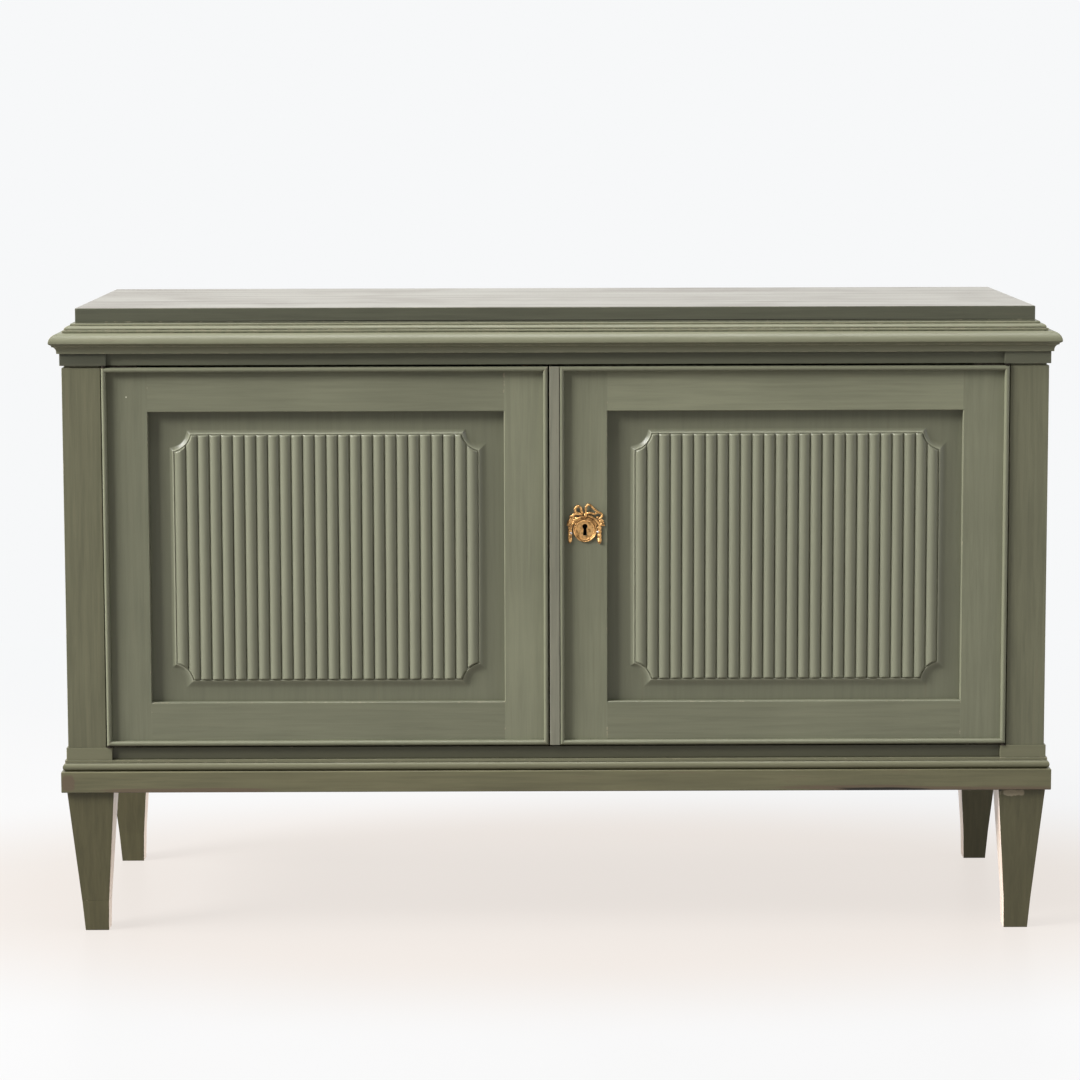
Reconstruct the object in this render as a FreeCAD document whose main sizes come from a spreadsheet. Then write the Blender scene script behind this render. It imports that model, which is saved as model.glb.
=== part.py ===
import FreeCAD, Part
import math
import os
import Sketcher

# A painted sideboard in the late eighteenth century northern taste.
# Two reeded doors hang between plain posts under a mitred cornice.
# X runs to the right, Y to the back and Z up, in millimetres.
# The origin is on the floor at the middle of the whole outline.

# Driving sizes: name, millimetres, and what the size is.
DRIVING_SIZES = [
    ("overall_width", "1400", "across the cornice"),
    ("overall_depth", "550", "cornice front to case back"),
    ("cornice_reach", "16.5", "cornice nose beyond the post faces"),
    ("cornice_height", "40.7", "bottom edge to top fillet"),
    ("cornice_seat_height", "24.7", "cornice bottom to the top of the posts"),
    ("slab_thickness", "19", "top board"),
    ("slab_setback", "17.9", "slab edge behind the post faces"),
    ("slab_arris", "1.2", "rounding of the slab's edges"),
    ("sub_top_thickness", "18", "board between posts and slab"),
    ("leg_height", "202.3", "floor to plinth"),
    ("plinth_height", "29.7", "plinth board"),
    ("plinth_reach", "9.5", "plinth beyond the post faces"),
    ("plinth_thickness", "22", "plinth board, front to back"),
    ("plinth_arris", "1.5", "rounding of the plinth's outer edges"),
    ("torus_height", "12", "half round above the plinth"),
    ("torus_reach", "7.6", "half round beyond the post faces"),
    ("fillet_height", "3.5", "flat fillet above the half round"),
    ("fillet_reach", "4.5", "flat fillet beyond the post faces"),
    ("base_band_height", "17.4", "base blocks and base rail"),
    ("base_block_reach", "2.3", "base block beyond the post face"),
    ("base_block_return", "8.2", "base block past the post's inner face"),
    ("base_rail_recess", "3.5", "base rail behind the post face"),
    ("base_rail_thickness", "42", "base rail, front to back"),
    ("frieze_band_height", "16.9", "visible height of frieze and capitals"),
    ("frieze_recess", "2.5", "frieze rail behind the post face"),
    ("frieze_thickness", "30", "frieze rail, front to back"),
    ("capital_reach", "2.5", "capital beyond the post face"),
    ("capital_return", "8.4", "capital past the post's inner face"),
    ("quirk_height", "2.9", "shadow groove under the capital"),
    ("quirk_depth", "3", "shadow groove under the capital"),
    ("post_width", "53.5", "post, across and front to back"),
    ("door_height", "530.4", "both doors"),
    ("door_thickness", "24.2", "door frame"),
    ("door_setback", "4", "door frame face behind the post faces"),
    ("door_side_gap", "1.3", "door edge to post"),
    ("door_bottom_gap", "2.3", "door to base band"),
    ("door_top_gap", "2.8", "door to frieze band"),
    ("door_meeting_gap", "2", "left door edge to meeting strip"),
    ("meeting_offset", "8.6", "meeting strip edge left of the middle"),
    ("meeting_strip_width", "13.8", "flat strip on the right door"),
    ("meeting_strip_proud", "8.6", "strip in front of the frame face"),
    ("door_stop_gap", "0.3", "door back to bottom board"),
    ("bead_width", "6.6", "half round cock bead"),
    ("bead_proud", "9", "bead in front of the frame face"),
    ("hinge_stile_width", "63", "door edge to panel opening"),
    ("left_meeting_stile_width", "61.2", "door edge to panel opening"),
    ("lock_stile_width", "80.4", "strip edge to panel opening"),
    ("top_rail_width", "62.3", "door top to panel opening"),
    ("bottom_rail_width", "60.5", "door bottom to panel opening"),
    ("frame_chamfer", "0.9", "inner arris of the door frames"),
    ("panel_recess", "12", "panel margin behind the frame face"),
    ("panel_thickness", "8", "panel at its edge"),
    ("panel_groove_depth", "9", "groove round the frame opening"),
    ("panel_play", "0.2", "panel in its groove, each face"),
    ("panel_edge_play", "1.5", "panel edge to groove bottom"),
    ("field_side_margin", "28.95", "panel opening to the raised field, left and right"),
    ("field_end_margin", "24.8", "panel opening to the raised field, above and below"),
    ("field_shift", "1.8", "field off the middle, to the hinge side"),
    ("field_lower_shift", "1", "field below the middle of the opening"),
    ("field_corner_radius", "24", "incurved corner"),
    ("lip_width", "5.4", "raised lip round the reeds"),
    ("lip_height", "3.2", "lip above the panel margin"),
    ("lip_slope", "2.4", "slope on the lip's outside, as wide as high"),
    ("reed_border_gap", "1.6", "sunk line between lip and reeds"),
    ("reed_gap", "1.3", "sunk line between reeds"),
    ("reed_shoulder", "1.7", "straight side of a reed"),
    ("reed_crown", "2.2", "rise of a reed above its sides"),
    ("hinge_play", "0.3", "upper hinge plate to lower"),
    ("hinge_plate_length", "46", "hinge plate along the door"),
    ("hinge_plate_width", "12", "hinge plate, front to back"),
    ("hinge_eye_radius", "3.1", "round end of the hinge plate"),
    ("hinge_pin_radius", "1.5", "pivot"),
    ("hinge_pin_play", "0.05", "pivot in its hole"),
    ("lock_height", "62", "lock case"),
    ("lock_width", "52", "lock case"),
    ("lock_thickness", "9", "lock case"),
    ("lock_wall", "1.5", "lock case walls"),
    ("lock_bolt_height", "12", "bolt"),
    ("lock_bolt_thickness", "5", "bolt"),
    ("lock_bolt_length", "36", "bolt"),
    ("lock_bolt_travel", "8", "throw of the bolt"),
    ("lock_bolt_play", "0.3", "bolt in its case"),
    ("lock_mortise_play", "0.6", "bolt in the left stile, each side"),
    ("keyhole_height_above_floor", "574.3", "middle of the round part"),
    ("keyhole_offset", "40.5", "keyhole right of the middle"),
    ("keyhole_radius", "3.7", "round part"),
    ("keyhole_slot_width", "4.8", "slot under the round part"),
    ("keyhole_drop", "12.8", "middle of the round part to slot end"),
    ("flush_bolt_width", "8", "flush bolt bar"),
    ("flush_bolt_thickness", "5", "flush bolt bar"),
    ("flush_bolt_length", "90", "flush bolt bar"),
    ("flush_bolt_travel", "10", "throw of a flush bolt"),
    ("flush_bolt_play", "0.3", "bar in its case"),
    ("flush_bolt_socket_play", "0.6", "bar in its socket, each side"),
    ("flush_bolt_inset", "30", "bar's middle from the left door's edge"),
    ("flush_case_width", "16", "case of a flush bolt"),
    ("flush_case_depth", "8", "case of a flush bolt"),
    ("flush_case_length", "110", "case of a flush bolt"),
    ("flush_knob_width", "6", "thumb piece on the bar"),
    ("flush_knob_height", "12", "thumb piece on the bar"),
    ("escutcheon_plate", "1.4", "thickness of the lock plate"),
    ("escutcheon_radius", "16.3", "round part of the lock plate"),
    ("escutcheon_ring_radius", "13", "raised ring, middle"),
    ("escutcheon_ring_width", "2.2", "raised ring"),
    ("escutcheon_ring_height", "1.3", "raised ring"),
    ("escutcheon_drop", "4.3", "disc middle below the keyhole middle"),
    ("escutcheon_relief", "2.8", "swags and bow in front of the frame face"),
    ("swag_half_width", "27.4", "disc middle to the swags' widest place"),
    ("swag_shoulder_rise", "12", "disc middle up to the swags' widest place"),
    ("swag_end_reach", "20.4", "disc middle to the middle of a hanging end"),
    ("swag_end_width", "5.8", "hanging end of a swag"),
    ("swag_fall", "18.6", "disc middle down to the swag ends"),
    ("bow_rise", "35.6", "disc middle to the top of the bow"),
    ("bow_loop_radius", "6.9", "outside of a ribbon loop"),
    ("bow_loop_reach", "7.6", "middle of the plate to the middle of a loop"),
    ("bow_ribbon_width", "2.6", "ribbon of the bow"),
    ("bow_knot_width", "6", "knot between the loops"),
    ("side_rail_thickness", "24", "rails of the case sides"),
    ("side_top_rail_height", "62", "upper rail of a side"),
    ("side_bottom_rail_height", "52", "lower rail of a side"),
    ("side_panel_recess", "7.5", "side panel behind the post face"),
    ("side_panel_thickness", "8", "side panel"),
    ("side_groove_depth", "8", "groove for the side panel"),
    ("side_bead_height", "9", "bead along a side"),
    ("side_bead_reach", "3", "bead along a side"),
    ("side_bead_top_rise", "3.9", "upper side bead over the door top"),
    ("side_bead_bottom_rise", "2", "lower side bead over the base band"),
    ("bottom_board_thickness", "15", "floor of the cupboard"),
    ("board_play", "0.3", "boards fitted between posts"),
    ("back_board_thickness", "12", "boards of the back"),
    ("back_board_gap", "0.5", "open joint between back boards"),
    ("back_board_lap", "6", "half lap between back boards"),
    ("shelf_height", "262", "shelf top above the bottom board"),
    ("shelf_thickness", "18", "shelf"),
    ("shelf_batten_height", "22", "shelf bearer"),
    ("shelf_batten_width", "18", "shelf bearer"),
    ("leg_top_size", "65.4", "leg under the plinth"),
    ("leg_knee_height", "44", "where the taper changes"),
    ("leg_knee_size", "38", "leg at that height"),
    ("leg_knee_setback", "16.3", "outer face of the knee behind the leg top"),
    ("leg_foot_size", "33.2", "leg on the floor"),
    ("leg_foot_setback", "20", "outer face of the foot behind the leg top"),
    ("leg_rear_knee_setback", "7.6", "back of a rear knee behind the leg top"),
    ("leg_rear_foot_setback", "9.4", "back of a rear foot behind the leg top"),
    ("leg_reach", "2.3", "leg top beyond the post face"),
    ("leg_tenon_radius", "13", "round tenon on the leg"),
    ("leg_tenon_length", "34", "round tenon on the leg"),
    ("leg_tenon_play", "0.05", "tenon in the corner block"),
    ("leg_tenon_wall", "5", "tenon to the corner block's outer faces"),
    ("corner_block_size", "62", "block inside the plinth"),
    ("overrun", "4", "how far cuts run past the wood"),
]

REED_COUNT = 26
BACK_BOARD_COUNT = 9

DOC = FreeCAD.newDocument("Sideboard")
SHEET = DOC.addObject("Spreadsheet::Sheet", "Sizes")
for row, (alias, number, meaning) in enumerate(DRIVING_SIZES, start=1):
    SHEET.set("A%d" % row, meaning)
    SHEET.set("B%d" % row, number)
    SHEET.setAlias("B%d" % row, alias)
DOC.recompute()

NODES = []


class Length:
    """A length worked out from the sheet: its value now and the expression that keeps it."""

    def __init__(self, value, text):
        self.value = value
        self.text = text

    def __add__(self, other):
        return Length(self.value + other.value, "(%s + %s)" % (self.text, other.text))

    def __sub__(self, other):
        return Length(self.value - other.value, "(%s - %s)" % (self.text, other.text))

    def __neg__(self):
        return Length(-self.value, "(0 - %s)" % self.text)

    def __mul__(self, factor):
        if isinstance(factor, Length):
            return Length(self.value * factor.value, "(%s * %s)" % (self.text, factor.text))
        return Length(self.value * factor, "(%s * %r)" % (self.text, factor))

    def __truediv__(self, divisor):
        if isinstance(divisor, Length):
            return Length(self.value / divisor.value, "(%s / %s)" % (self.text, divisor.text))
        return Length(self.value / divisor, "(%s / %r)" % (self.text, divisor))


NONE = Length(0.0, "0")


def size(alias):
    """One driving size, by its name in the sheet."""
    return Length(float(SHEET.get(alias)), "Sizes.%s" % alias)


def other_leg(hypotenuse, leg):
    """The second short side of a right-angled triangle."""
    square = hypotenuse * hypotenuse - leg * leg
    return Length(math.sqrt(square.value), "sqrt(%s)" % square.text)


def crown_radius(width, rise):
    """The radius of an arc that rises by so much over so wide a chord."""
    return (width * width / 4 + rise * rise) / (rise * 2)


def bind(thing, name, length):
    """Tie one property of a document object to the sheet."""
    thing.setExpression(name, length.text)


def place(thing, x, y, z, turn=None):
    """Put an object down, turned first where a turn is given."""
    if turn is not None:
        thing.Placement = FreeCAD.Placement(FreeCAD.Vector(), turn)
    bind(thing, ".Placement.Base.x", x)
    bind(thing, ".Placement.Base.y", y)
    bind(thing, ".Placement.Base.z", z)


def keep(thing, label):
    """Name an object as one node of the assembly."""
    thing.Label = label
    NODES.append(thing)
    return thing


def board(label, low, high, node=True):
    """A square-edged board between two corners."""
    box = DOC.addObject("Part::Box", label)
    bind(box, "Length", high[0] - low[0])
    bind(box, "Width", high[1] - low[1])
    bind(box, "Height", high[2] - low[2])
    place(box, low[0], low[1], low[2])
    return keep(box, label) if node else box


def group(label, members):
    """Like pieces that share one node."""
    compound = DOC.addObject("Part::Compound", label)
    compound.Links = members
    return keep(compound, label)


def add_body(label):
    """An empty body."""
    return DOC.addObject("PartDesign::Body", label)


def new_sketch(body, name, role, lift=NONE):
    """A sketch on one of the body's origin planes, lifted along that plane's normal."""
    sketch = body.newObject("Sketcher::SketchObject", name)
    plane = [feature for feature in body.Origin.OriginFeatures if feature.Role == role][0]
    sketch.AttachmentSupport = [(plane, "")]
    sketch.MapMode = "FlatFace"
    bind(sketch, ".AttachmentOffset.Base.z", lift)
    return sketch


def arc_to(x, y, radius, bulge):
    """A point reached along an arc; bulge 1 swells to the left of the way there, -1 to the right."""
    return (x, y, radius, bulge)


def arc_middle(start, end, radius, bulge):
    """The middle of an arc of less than half a circle between two points."""
    across = FreeCAD.Vector(end[0].value - start[0].value, end[1].value - start[1].value, 0)
    half = across.Length / 2
    rise = radius.value - math.sqrt(max(radius.value ** 2 - half ** 2, 0.0))
    left = FreeCAD.Vector(-across.y, across.x, 0).normalize()
    middle = FreeCAD.Vector((start[0].value + end[0].value) / 2, (start[1].value + end[1].value) / 2, 0)
    return middle + left * (rise * bulge)


def pin_down(sketch, pins):
    """Add constraints together, then tie each length among them to the sheet."""
    first = sketch.ConstraintCount
    sketch.addConstraint([constraint for constraint, length in pins])
    for offset, (constraint, length) in enumerate(pins):
        if length is not None and length.text != NONE.text:
            sketch.setExpression("Constraints[%d]" % (first + offset), length.text)


def draw(sketch, loop):
    """Close a loop of straight and round edges and pin each corner to the sheet."""
    first = sketch.GeometryCount
    corners = [FreeCAD.Vector(point[0].value, point[1].value, 0) for point in loop]
    edges = []
    for index, point in enumerate(loop):
        start, end = corners[index - 1], corners[index]
        if len(point) == 2:
            edges.append(Part.LineSegment(start, end))
        else:
            middle = arc_middle(loop[index - 1], point, point[2], point[3])
            edges.append(Part.Arc(start, middle, end) if point[3] < 0 else Part.Arc(end, middle, start))
    sketch.addGeometry(edges, False)
    drawn = sketch.Geometry

    def end_at(edge, corner):
        """Which end of an edge lies at a corner."""
        near = (drawn[edge].StartPoint - corner).Length
        far = (drawn[edge].EndPoint - corner).Length
        return 1 if near < far else 2

    pins = []
    for index, point in enumerate(loop):
        edge = first + index
        following = first + (index + 1) % len(loop)
        here = end_at(edge, corners[index])
        there = end_at(following, corners[index])
        pins.append((Sketcher.Constraint("Coincident", edge, here, following, there), None))
        pins.append((Sketcher.Constraint("DistanceX", -1, 1, edge, here, point[0].value), point[0]))
        pins.append((Sketcher.Constraint("DistanceY", -1, 1, edge, here, point[1].value), point[1]))
        if len(point) > 2:
            pins.append((Sketcher.Constraint("Radius", edge, point[2].value), point[2]))
    pin_down(sketch, pins)


def draw_circle(sketch, x, y, radius):
    """A full circle pinned to the sheet."""
    circle = Part.Circle(FreeCAD.Vector(x.value, y.value, 0), FreeCAD.Vector(0, 0, 1), radius.value)
    edge = sketch.addGeometry(circle, False)
    pin_down(sketch, [
        (Sketcher.Constraint("DistanceX", -1, 1, edge, 3, x.value), x),
        (Sketcher.Constraint("DistanceY", -1, 1, edge, 3, y.value), y),
        (Sketcher.Constraint("Radius", edge, radius.value), radius),
    ])


def pad(body, sketch, length, reverse=False):
    """Grow a sketch into wood."""
    feature = body.newObject("PartDesign::Pad", sketch.Name + "_pad")
    feature.Profile = sketch
    feature.Reversed = reverse
    bind(feature, "Length", length)
    sketch.Visibility = False
    return feature


def cut(body, sketch, length=None, reverse=False):
    """Cut a sketch away, to a depth or through everything both ways."""
    feature = body.newObject("PartDesign::Pocket", sketch.Name + "_cut")
    feature.Profile = sketch
    feature.Reversed = reverse
    if length is None:
        feature.Type = "ThroughAll"
        feature.Midplane = True
    else:
        bind(feature, "Length", length)
    sketch.Visibility = False
    return feature


def rectangle(low_x, low_y, high_x, high_y):
    """The four corners of an upright rectangle."""
    return [(low_x, low_y), (high_x, low_y), (high_x, high_y), (low_x, high_y)]


# Places that many pieces share, worked out from the driving sizes.
overrun = size("overrun")
case_half = size("overall_width") / 2 - size("cornice_reach")
back_y = size("overall_depth") / 2
face_y = -back_y + size("cornice_reach")
case_depth = back_y - face_y
post_inner = case_half - size("post_width")
plinth_top = size("leg_height") + size("plinth_height")
band_bottom = plinth_top + size("torus_height") + size("fillet_height")
band_top = band_bottom + size("base_band_height")
door_bottom = band_top + size("door_bottom_gap")
door_top = door_bottom + size("door_height")
frieze_bottom = door_top + size("door_top_gap")
cornice_bottom = frieze_bottom + size("frieze_band_height")
post_top = cornice_bottom + size("cornice_seat_height")
slab_bottom = post_top + size("sub_top_thickness")
door_face_y = face_y + size("door_setback")
door_back_y = door_face_y + size("door_thickness")
rear_inside_y = back_y - size("back_board_thickness")

FRONT_RUN = FreeCAD.Rotation(FreeCAD.Vector(0, 0, 1), 0)
LEFT_RUN = FreeCAD.Rotation(FreeCAD.Vector(0, 0, 1), -90)
RIGHT_RUN = FreeCAD.Rotation(FreeCAD.Vector(0, 0, 1), 90)
HANDS = (("left", -1), ("right", 1))


def moulding(label, loop, run, outward, inward, mitre_start, mitre_end):
    """A profile run along X, cut at 45 degrees where it turns a corner.

    The loop is drawn looking along the run: across is negative outwards, up is up.
    """
    body = add_body(label)
    start = -outward if mitre_start else NONE
    length = run - start + (outward if mitre_end else NONE)
    profile = new_sketch(body, label + "_profile", "YZ_Plane", start)
    draw(profile, loop)
    pad(body, profile, length)
    reach = outward + overrun
    depth = inward + overrun
    if mitre_start:
        corner = new_sketch(body, label + "_mitre_start", "XY_Plane")
        draw(corner, [(-reach, -reach), (depth, depth), (-reach, depth)])
        cut(body, corner)
    if mitre_end:
        corner = new_sketch(body, label + "_mitre_end", "XY_Plane")
        draw(corner, [(run + reach, -reach), (run + reach, depth), (run - depth, depth)])
        cut(body, corner)
    return body


def wrap_moulding(label, loop_maker, outward, inward, base_z):
    """One moulding in three lengths round the front and both sides of the case."""
    for where, run, turn, x, y, mitres in (
        ("front", case_half * 2, FRONT_RUN, -case_half, face_y, (True, True)),
        ("left", case_depth, LEFT_RUN, -case_half, back_y, (False, True)),
        ("right", case_depth, RIGHT_RUN, case_half, face_y, (True, False)),
    ):
        name = "%s_%s" % (label, where)
        body = moulding(name, loop_maker(), run, outward, inward, mitres[0], mitres[1])
        place(body, x, y, base_z, turn)
        keep(body, name)


def cornice_profile():
    """The cornice from its lower edge up: cove, large ovolo, fillets and small ovolo."""
    reach = size("cornice_reach")
    rise = size("cornice_height")
    seat = size("cornice_seat_height")
    lower_shares = [(0.0, 0.0), (0.38, 0.0), (0.38, 0.04)]
    cove_share = (0.75, 0.24)
    nose_shares = [(0.75, 0.29), (0.95, 0.32), (1.0, 0.35)]
    ovolo_share = (0.2, 0.68)
    step_shares = [(-0.05, 0.71), (-0.06, 0.75), (-0.27, 0.79)]
    small_ovolo_share = (-0.61, 0.92)
    upper_shares = [(-0.67, 0.93), (-0.7, 0.975)]
    cove_radius_share = 0.55
    ovolo_radius_share = 0.97
    small_radius_share = 0.45

    def at(shares):
        """A profile point from its outward share of the reach and upward share of the rise."""
        return (-reach * shares[0], rise * shares[1])

    loop = [at(shares) for shares in lower_shares]
    loop.append(arc_to(*at(cove_share), reach * cove_radius_share, -1))
    loop += [at(shares) for shares in nose_shares]
    loop.append(arc_to(*at(ovolo_share), reach * ovolo_radius_share, 1))
    loop += [at(shares) for shares in step_shares]
    loop.append(arc_to(*at(small_ovolo_share), reach * small_radius_share, 1))
    loop += [at(shares) for shares in upper_shares]
    loop += [(size("slab_setback"), rise), (size("slab_setback"), seat), (NONE, seat)]
    return loop


def base_profile():
    """The half round and its fillet, on top of the plinth."""
    torus = size("torus_reach")
    fillet = size("fillet_reach")
    radius = size("torus_height") / 2
    rise = size("torus_height")
    top = rise + size("fillet_height")
    back = size("plinth_thickness") - size("plinth_reach")
    flat = radius - torus
    return [
        (back, NONE), (back, top), (-fillet, top), (-fillet, rise), (flat, rise),
        arc_to(-torus, radius, radius, -1), arc_to(flat, NONE, radius, -1),
    ]


def plinth_profile():
    """A plain board with its outer edges softened."""
    reach = size("plinth_reach")
    arris = size("plinth_arris")
    top = size("plinth_height")
    back = size("plinth_thickness") - reach
    return [
        (back, NONE), (back, top), (arris - reach, top), arc_to(-reach, top - arris, arris, -1),
        (-reach, arris), arc_to(arris - reach, NONE, arris, -1),
    ]


def make_top():
    """Slab, sub-top and cornice."""
    setback = size("slab_setback")
    slab = add_body("top_slab")
    outline = new_sketch(slab, "slab_outline", "XY_Plane")
    half = case_half - setback
    front = face_y + setback
    draw(outline, rectangle(-half, front, half, back_y))
    slab_pad = pad(slab, outline, size("slab_thickness"))
    DOC.recompute()
    arris = slab.newObject("PartDesign::Fillet", "slab_arris")
    arris.Base = (slab_pad, [
        "Edge%d" % (index + 1) for index, edge in enumerate(slab_pad.Shape.Edges)
        if edge.BoundBox.ZMin > size("slab_thickness").value / 2])
    bind(arris, "Radius", size("slab_arris"))
    place(slab, NONE, NONE, slab_bottom)
    keep(slab, "top_slab")
    board("sub_top", (-half, front, post_top), (half, back_y, slab_bottom))
    wrap_moulding("cornice", cornice_profile, size("cornice_reach"), setback, cornice_bottom)


def corner_wrap(label, hand, reach, overlap, recess, low, high):
    """A thin block that wraps a front post and returns past its inner face."""
    width = size("post_width")
    body = add_body(label)
    outline = new_sketch(body, label + "_outline", "XY_Plane")
    loop = [
        (-reach, -reach), (width + overlap, -reach), (width + overlap, recess), (width, recess),
        (width, NONE), (NONE, NONE), (NONE, width), (-reach, width),
    ]
    draw(outline, [(x * -hand, y) for x, y in loop])
    pad(body, outline, high - low)
    place(body, case_half * hand, face_y, low)
    keep(body, label)


def post(label, hand, toward_back):
    """A corner post with a groove for the side panel; front posts have the shadow groove."""
    width = size("post_width")
    recess = size("side_panel_recess") - size("panel_play")
    inside = size("side_panel_recess") + size("side_panel_thickness") + size("panel_play")
    depth = size("side_groove_depth")
    loop = [
        (NONE, NONE), (width, NONE), (width, width), (inside, width), (inside, width - depth),
        (recess, width - depth), (recess, width), (NONE, width),
    ]
    body = add_body(label)
    outline = new_sketch(body, label + "_outline", "XY_Plane")
    draw(outline, [(x * -hand, y * toward_back) for x, y in loop])
    pad(body, outline, post_top - band_bottom)
    if toward_back == 1:
        lift = frieze_bottom - size("quirk_height") - band_bottom
        groove = new_sketch(body, label + "_quirk", "XY_Plane", lift)
        quirk = size("quirk_depth")
        outer = width + overrun
        ell = [
            (-overrun, -overrun), (outer, -overrun), (outer, quirk),
            (quirk, quirk), (quirk, outer), (-overrun, outer),
        ]
        draw(groove, [(x * -hand, y) for x, y in ell])
        cut(body, groove, size("quirk_height"), True)
    place(body, case_half * hand, face_y if toward_back == 1 else back_y, band_bottom)
    keep(body, label)


def make_posts():
    """Four posts, the capitals and the base blocks."""
    for where, hand in HANDS:
        post("post_front_" + where, hand, 1)
        post("post_rear_" + where, hand, -1)
        corner_wrap("capital_" + where, hand, size("capital_reach"), size("capital_return"),
                    size("frieze_recess"), frieze_bottom, cornice_bottom)
        corner_wrap("base_block_" + where, hand, size("base_block_reach"), size("base_block_return"),
                    size("base_rail_recess"), band_bottom, band_top)


def socket_sketch(body, x, y, lift):
    """The square mouth of a flush bolt's socket, on the body's own floor plane or lifted above it."""
    hole = new_sketch(body, body.Name + "_socket", "XY_Plane", lift)
    half_x, half_y = socket_width / 2, socket_depth / 2
    draw(hole, rectangle(x - half_x, y - half_y, x + half_x, y + half_y))
    return hole


# The flush bolts stand in the left door's meeting stile.
left_free_edge = -size("meeting_offset") - size("door_meeting_gap")
flush_x = left_free_edge - size("flush_bolt_inset")
flush_y = door_back_y - size("flush_case_depth") / 2
socket_width = size("flush_bolt_width") + size("flush_bolt_socket_play") * 2
socket_depth = size("flush_bolt_thickness") + size("flush_bolt_socket_play") * 2
socket_length = size("flush_bolt_travel") + size("door_top_gap") * 2


def make_front_rails():
    """The frieze rail and the base rail, each with a socket for a flush bolt."""
    frieze_y = face_y + size("frieze_recess")
    frieze = add_body("frieze_rail")
    outline = new_sketch(frieze, "frieze_outline", "XY_Plane")
    draw(outline, rectangle(-post_inner, NONE, post_inner, size("frieze_thickness")))
    pad(frieze, outline, post_top - frieze_bottom)
    hole = socket_sketch(frieze, flush_x, flush_y - frieze_y, NONE)
    cut(frieze, hole, socket_length, True)
    place(frieze, NONE, frieze_y, frieze_bottom)
    keep(frieze, "frieze_rail")

    rail_y = face_y + size("base_rail_recess")
    rail = add_body("base_rail")
    outline = new_sketch(rail, "base_rail_outline", "XY_Plane")
    draw(outline, rectangle(-post_inner, NONE, post_inner, size("base_rail_thickness")))
    height = size("base_band_height")
    pad(rail, outline, height)
    hole = socket_sketch(rail, flush_x, flush_y - rail_y, height)
    cut(rail, hole, socket_length)
    place(rail, NONE, rail_y, band_bottom)
    keep(rail, "base_rail")


def side_rail(label, hand, low, high, groove_up):
    """A rail between the posts of one side, grooved for the panel."""
    thick = size("side_rail_thickness")
    recess = size("side_panel_recess") - size("panel_play")
    inside = size("side_panel_recess") + size("side_panel_thickness") + size("panel_play")
    depth = size("side_groove_depth")
    tall = high - low
    if groove_up:
        loop = [(NONE, NONE), (thick, NONE), (thick, tall), (inside, tall), (inside, tall - depth),
                (recess, tall - depth), (recess, tall), (NONE, tall)]
    else:
        loop = [(NONE, tall), (NONE, NONE), (recess, NONE), (recess, depth), (inside, depth),
                (inside, NONE), (thick, NONE), (thick, tall)]
    body = add_body(label)
    profile = new_sketch(body, label + "_profile", "XZ_Plane")
    draw(profile, [(x * -hand, y) for x, y in loop])
    pad(body, profile, case_depth - size("post_width") * 2, True)
    place(body, case_half * hand, face_y + size("post_width"), low)
    body.Label = label
    return body


def side_bead(label, hand, low):
    """A flattened half round along one side, from the front post to the back."""
    tall = size("side_bead_height")
    reach = size("side_bead_reach")
    body = add_body(label)
    profile = new_sketch(body, label + "_profile", "XZ_Plane")
    draw(profile, [(NONE, NONE), arc_to(NONE, tall, crown_radius(tall, reach), -hand)])
    pad(body, profile, case_depth - size("post_width"), True)
    place(body, case_half * hand, face_y + size("post_width"), low)
    body.Label = label
    return body


def make_sides():
    """Frame and panel sides behind the front posts."""
    rails = []
    beads = []
    top_low = post_top - size("side_top_rail_height")
    bottom_high = band_bottom + size("side_bottom_rail_height")
    for where, hand in HANDS:
        rails.append(side_rail("side_bottom_rail_" + where, hand, band_bottom, bottom_high, True))
        rails.append(side_rail("side_top_rail_" + where, hand, top_low, post_top, False))
        beads.append(side_bead("side_upper_bead_" + where, hand, door_top + size("side_bead_top_rise")))
        beads.append(side_bead("side_lower_bead_" + where, hand, band_top + size("side_bead_bottom_rise")))
        outer = case_half - size("side_panel_recess")
        inner = outer - size("side_panel_thickness")
        reach = size("side_groove_depth") - size("panel_edge_play")
        low_x, high_x = (inner, outer) if hand == 1 else (-outer, -inner)
        front = face_y + size("post_width") - reach
        rear = back_y - size("post_width") + reach
        board("side_panel_" + where, (low_x, front, bottom_high - reach), (high_x, rear, top_low + reach))
    group("side_rails", rails)
    group("side_beads", beads)


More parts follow.
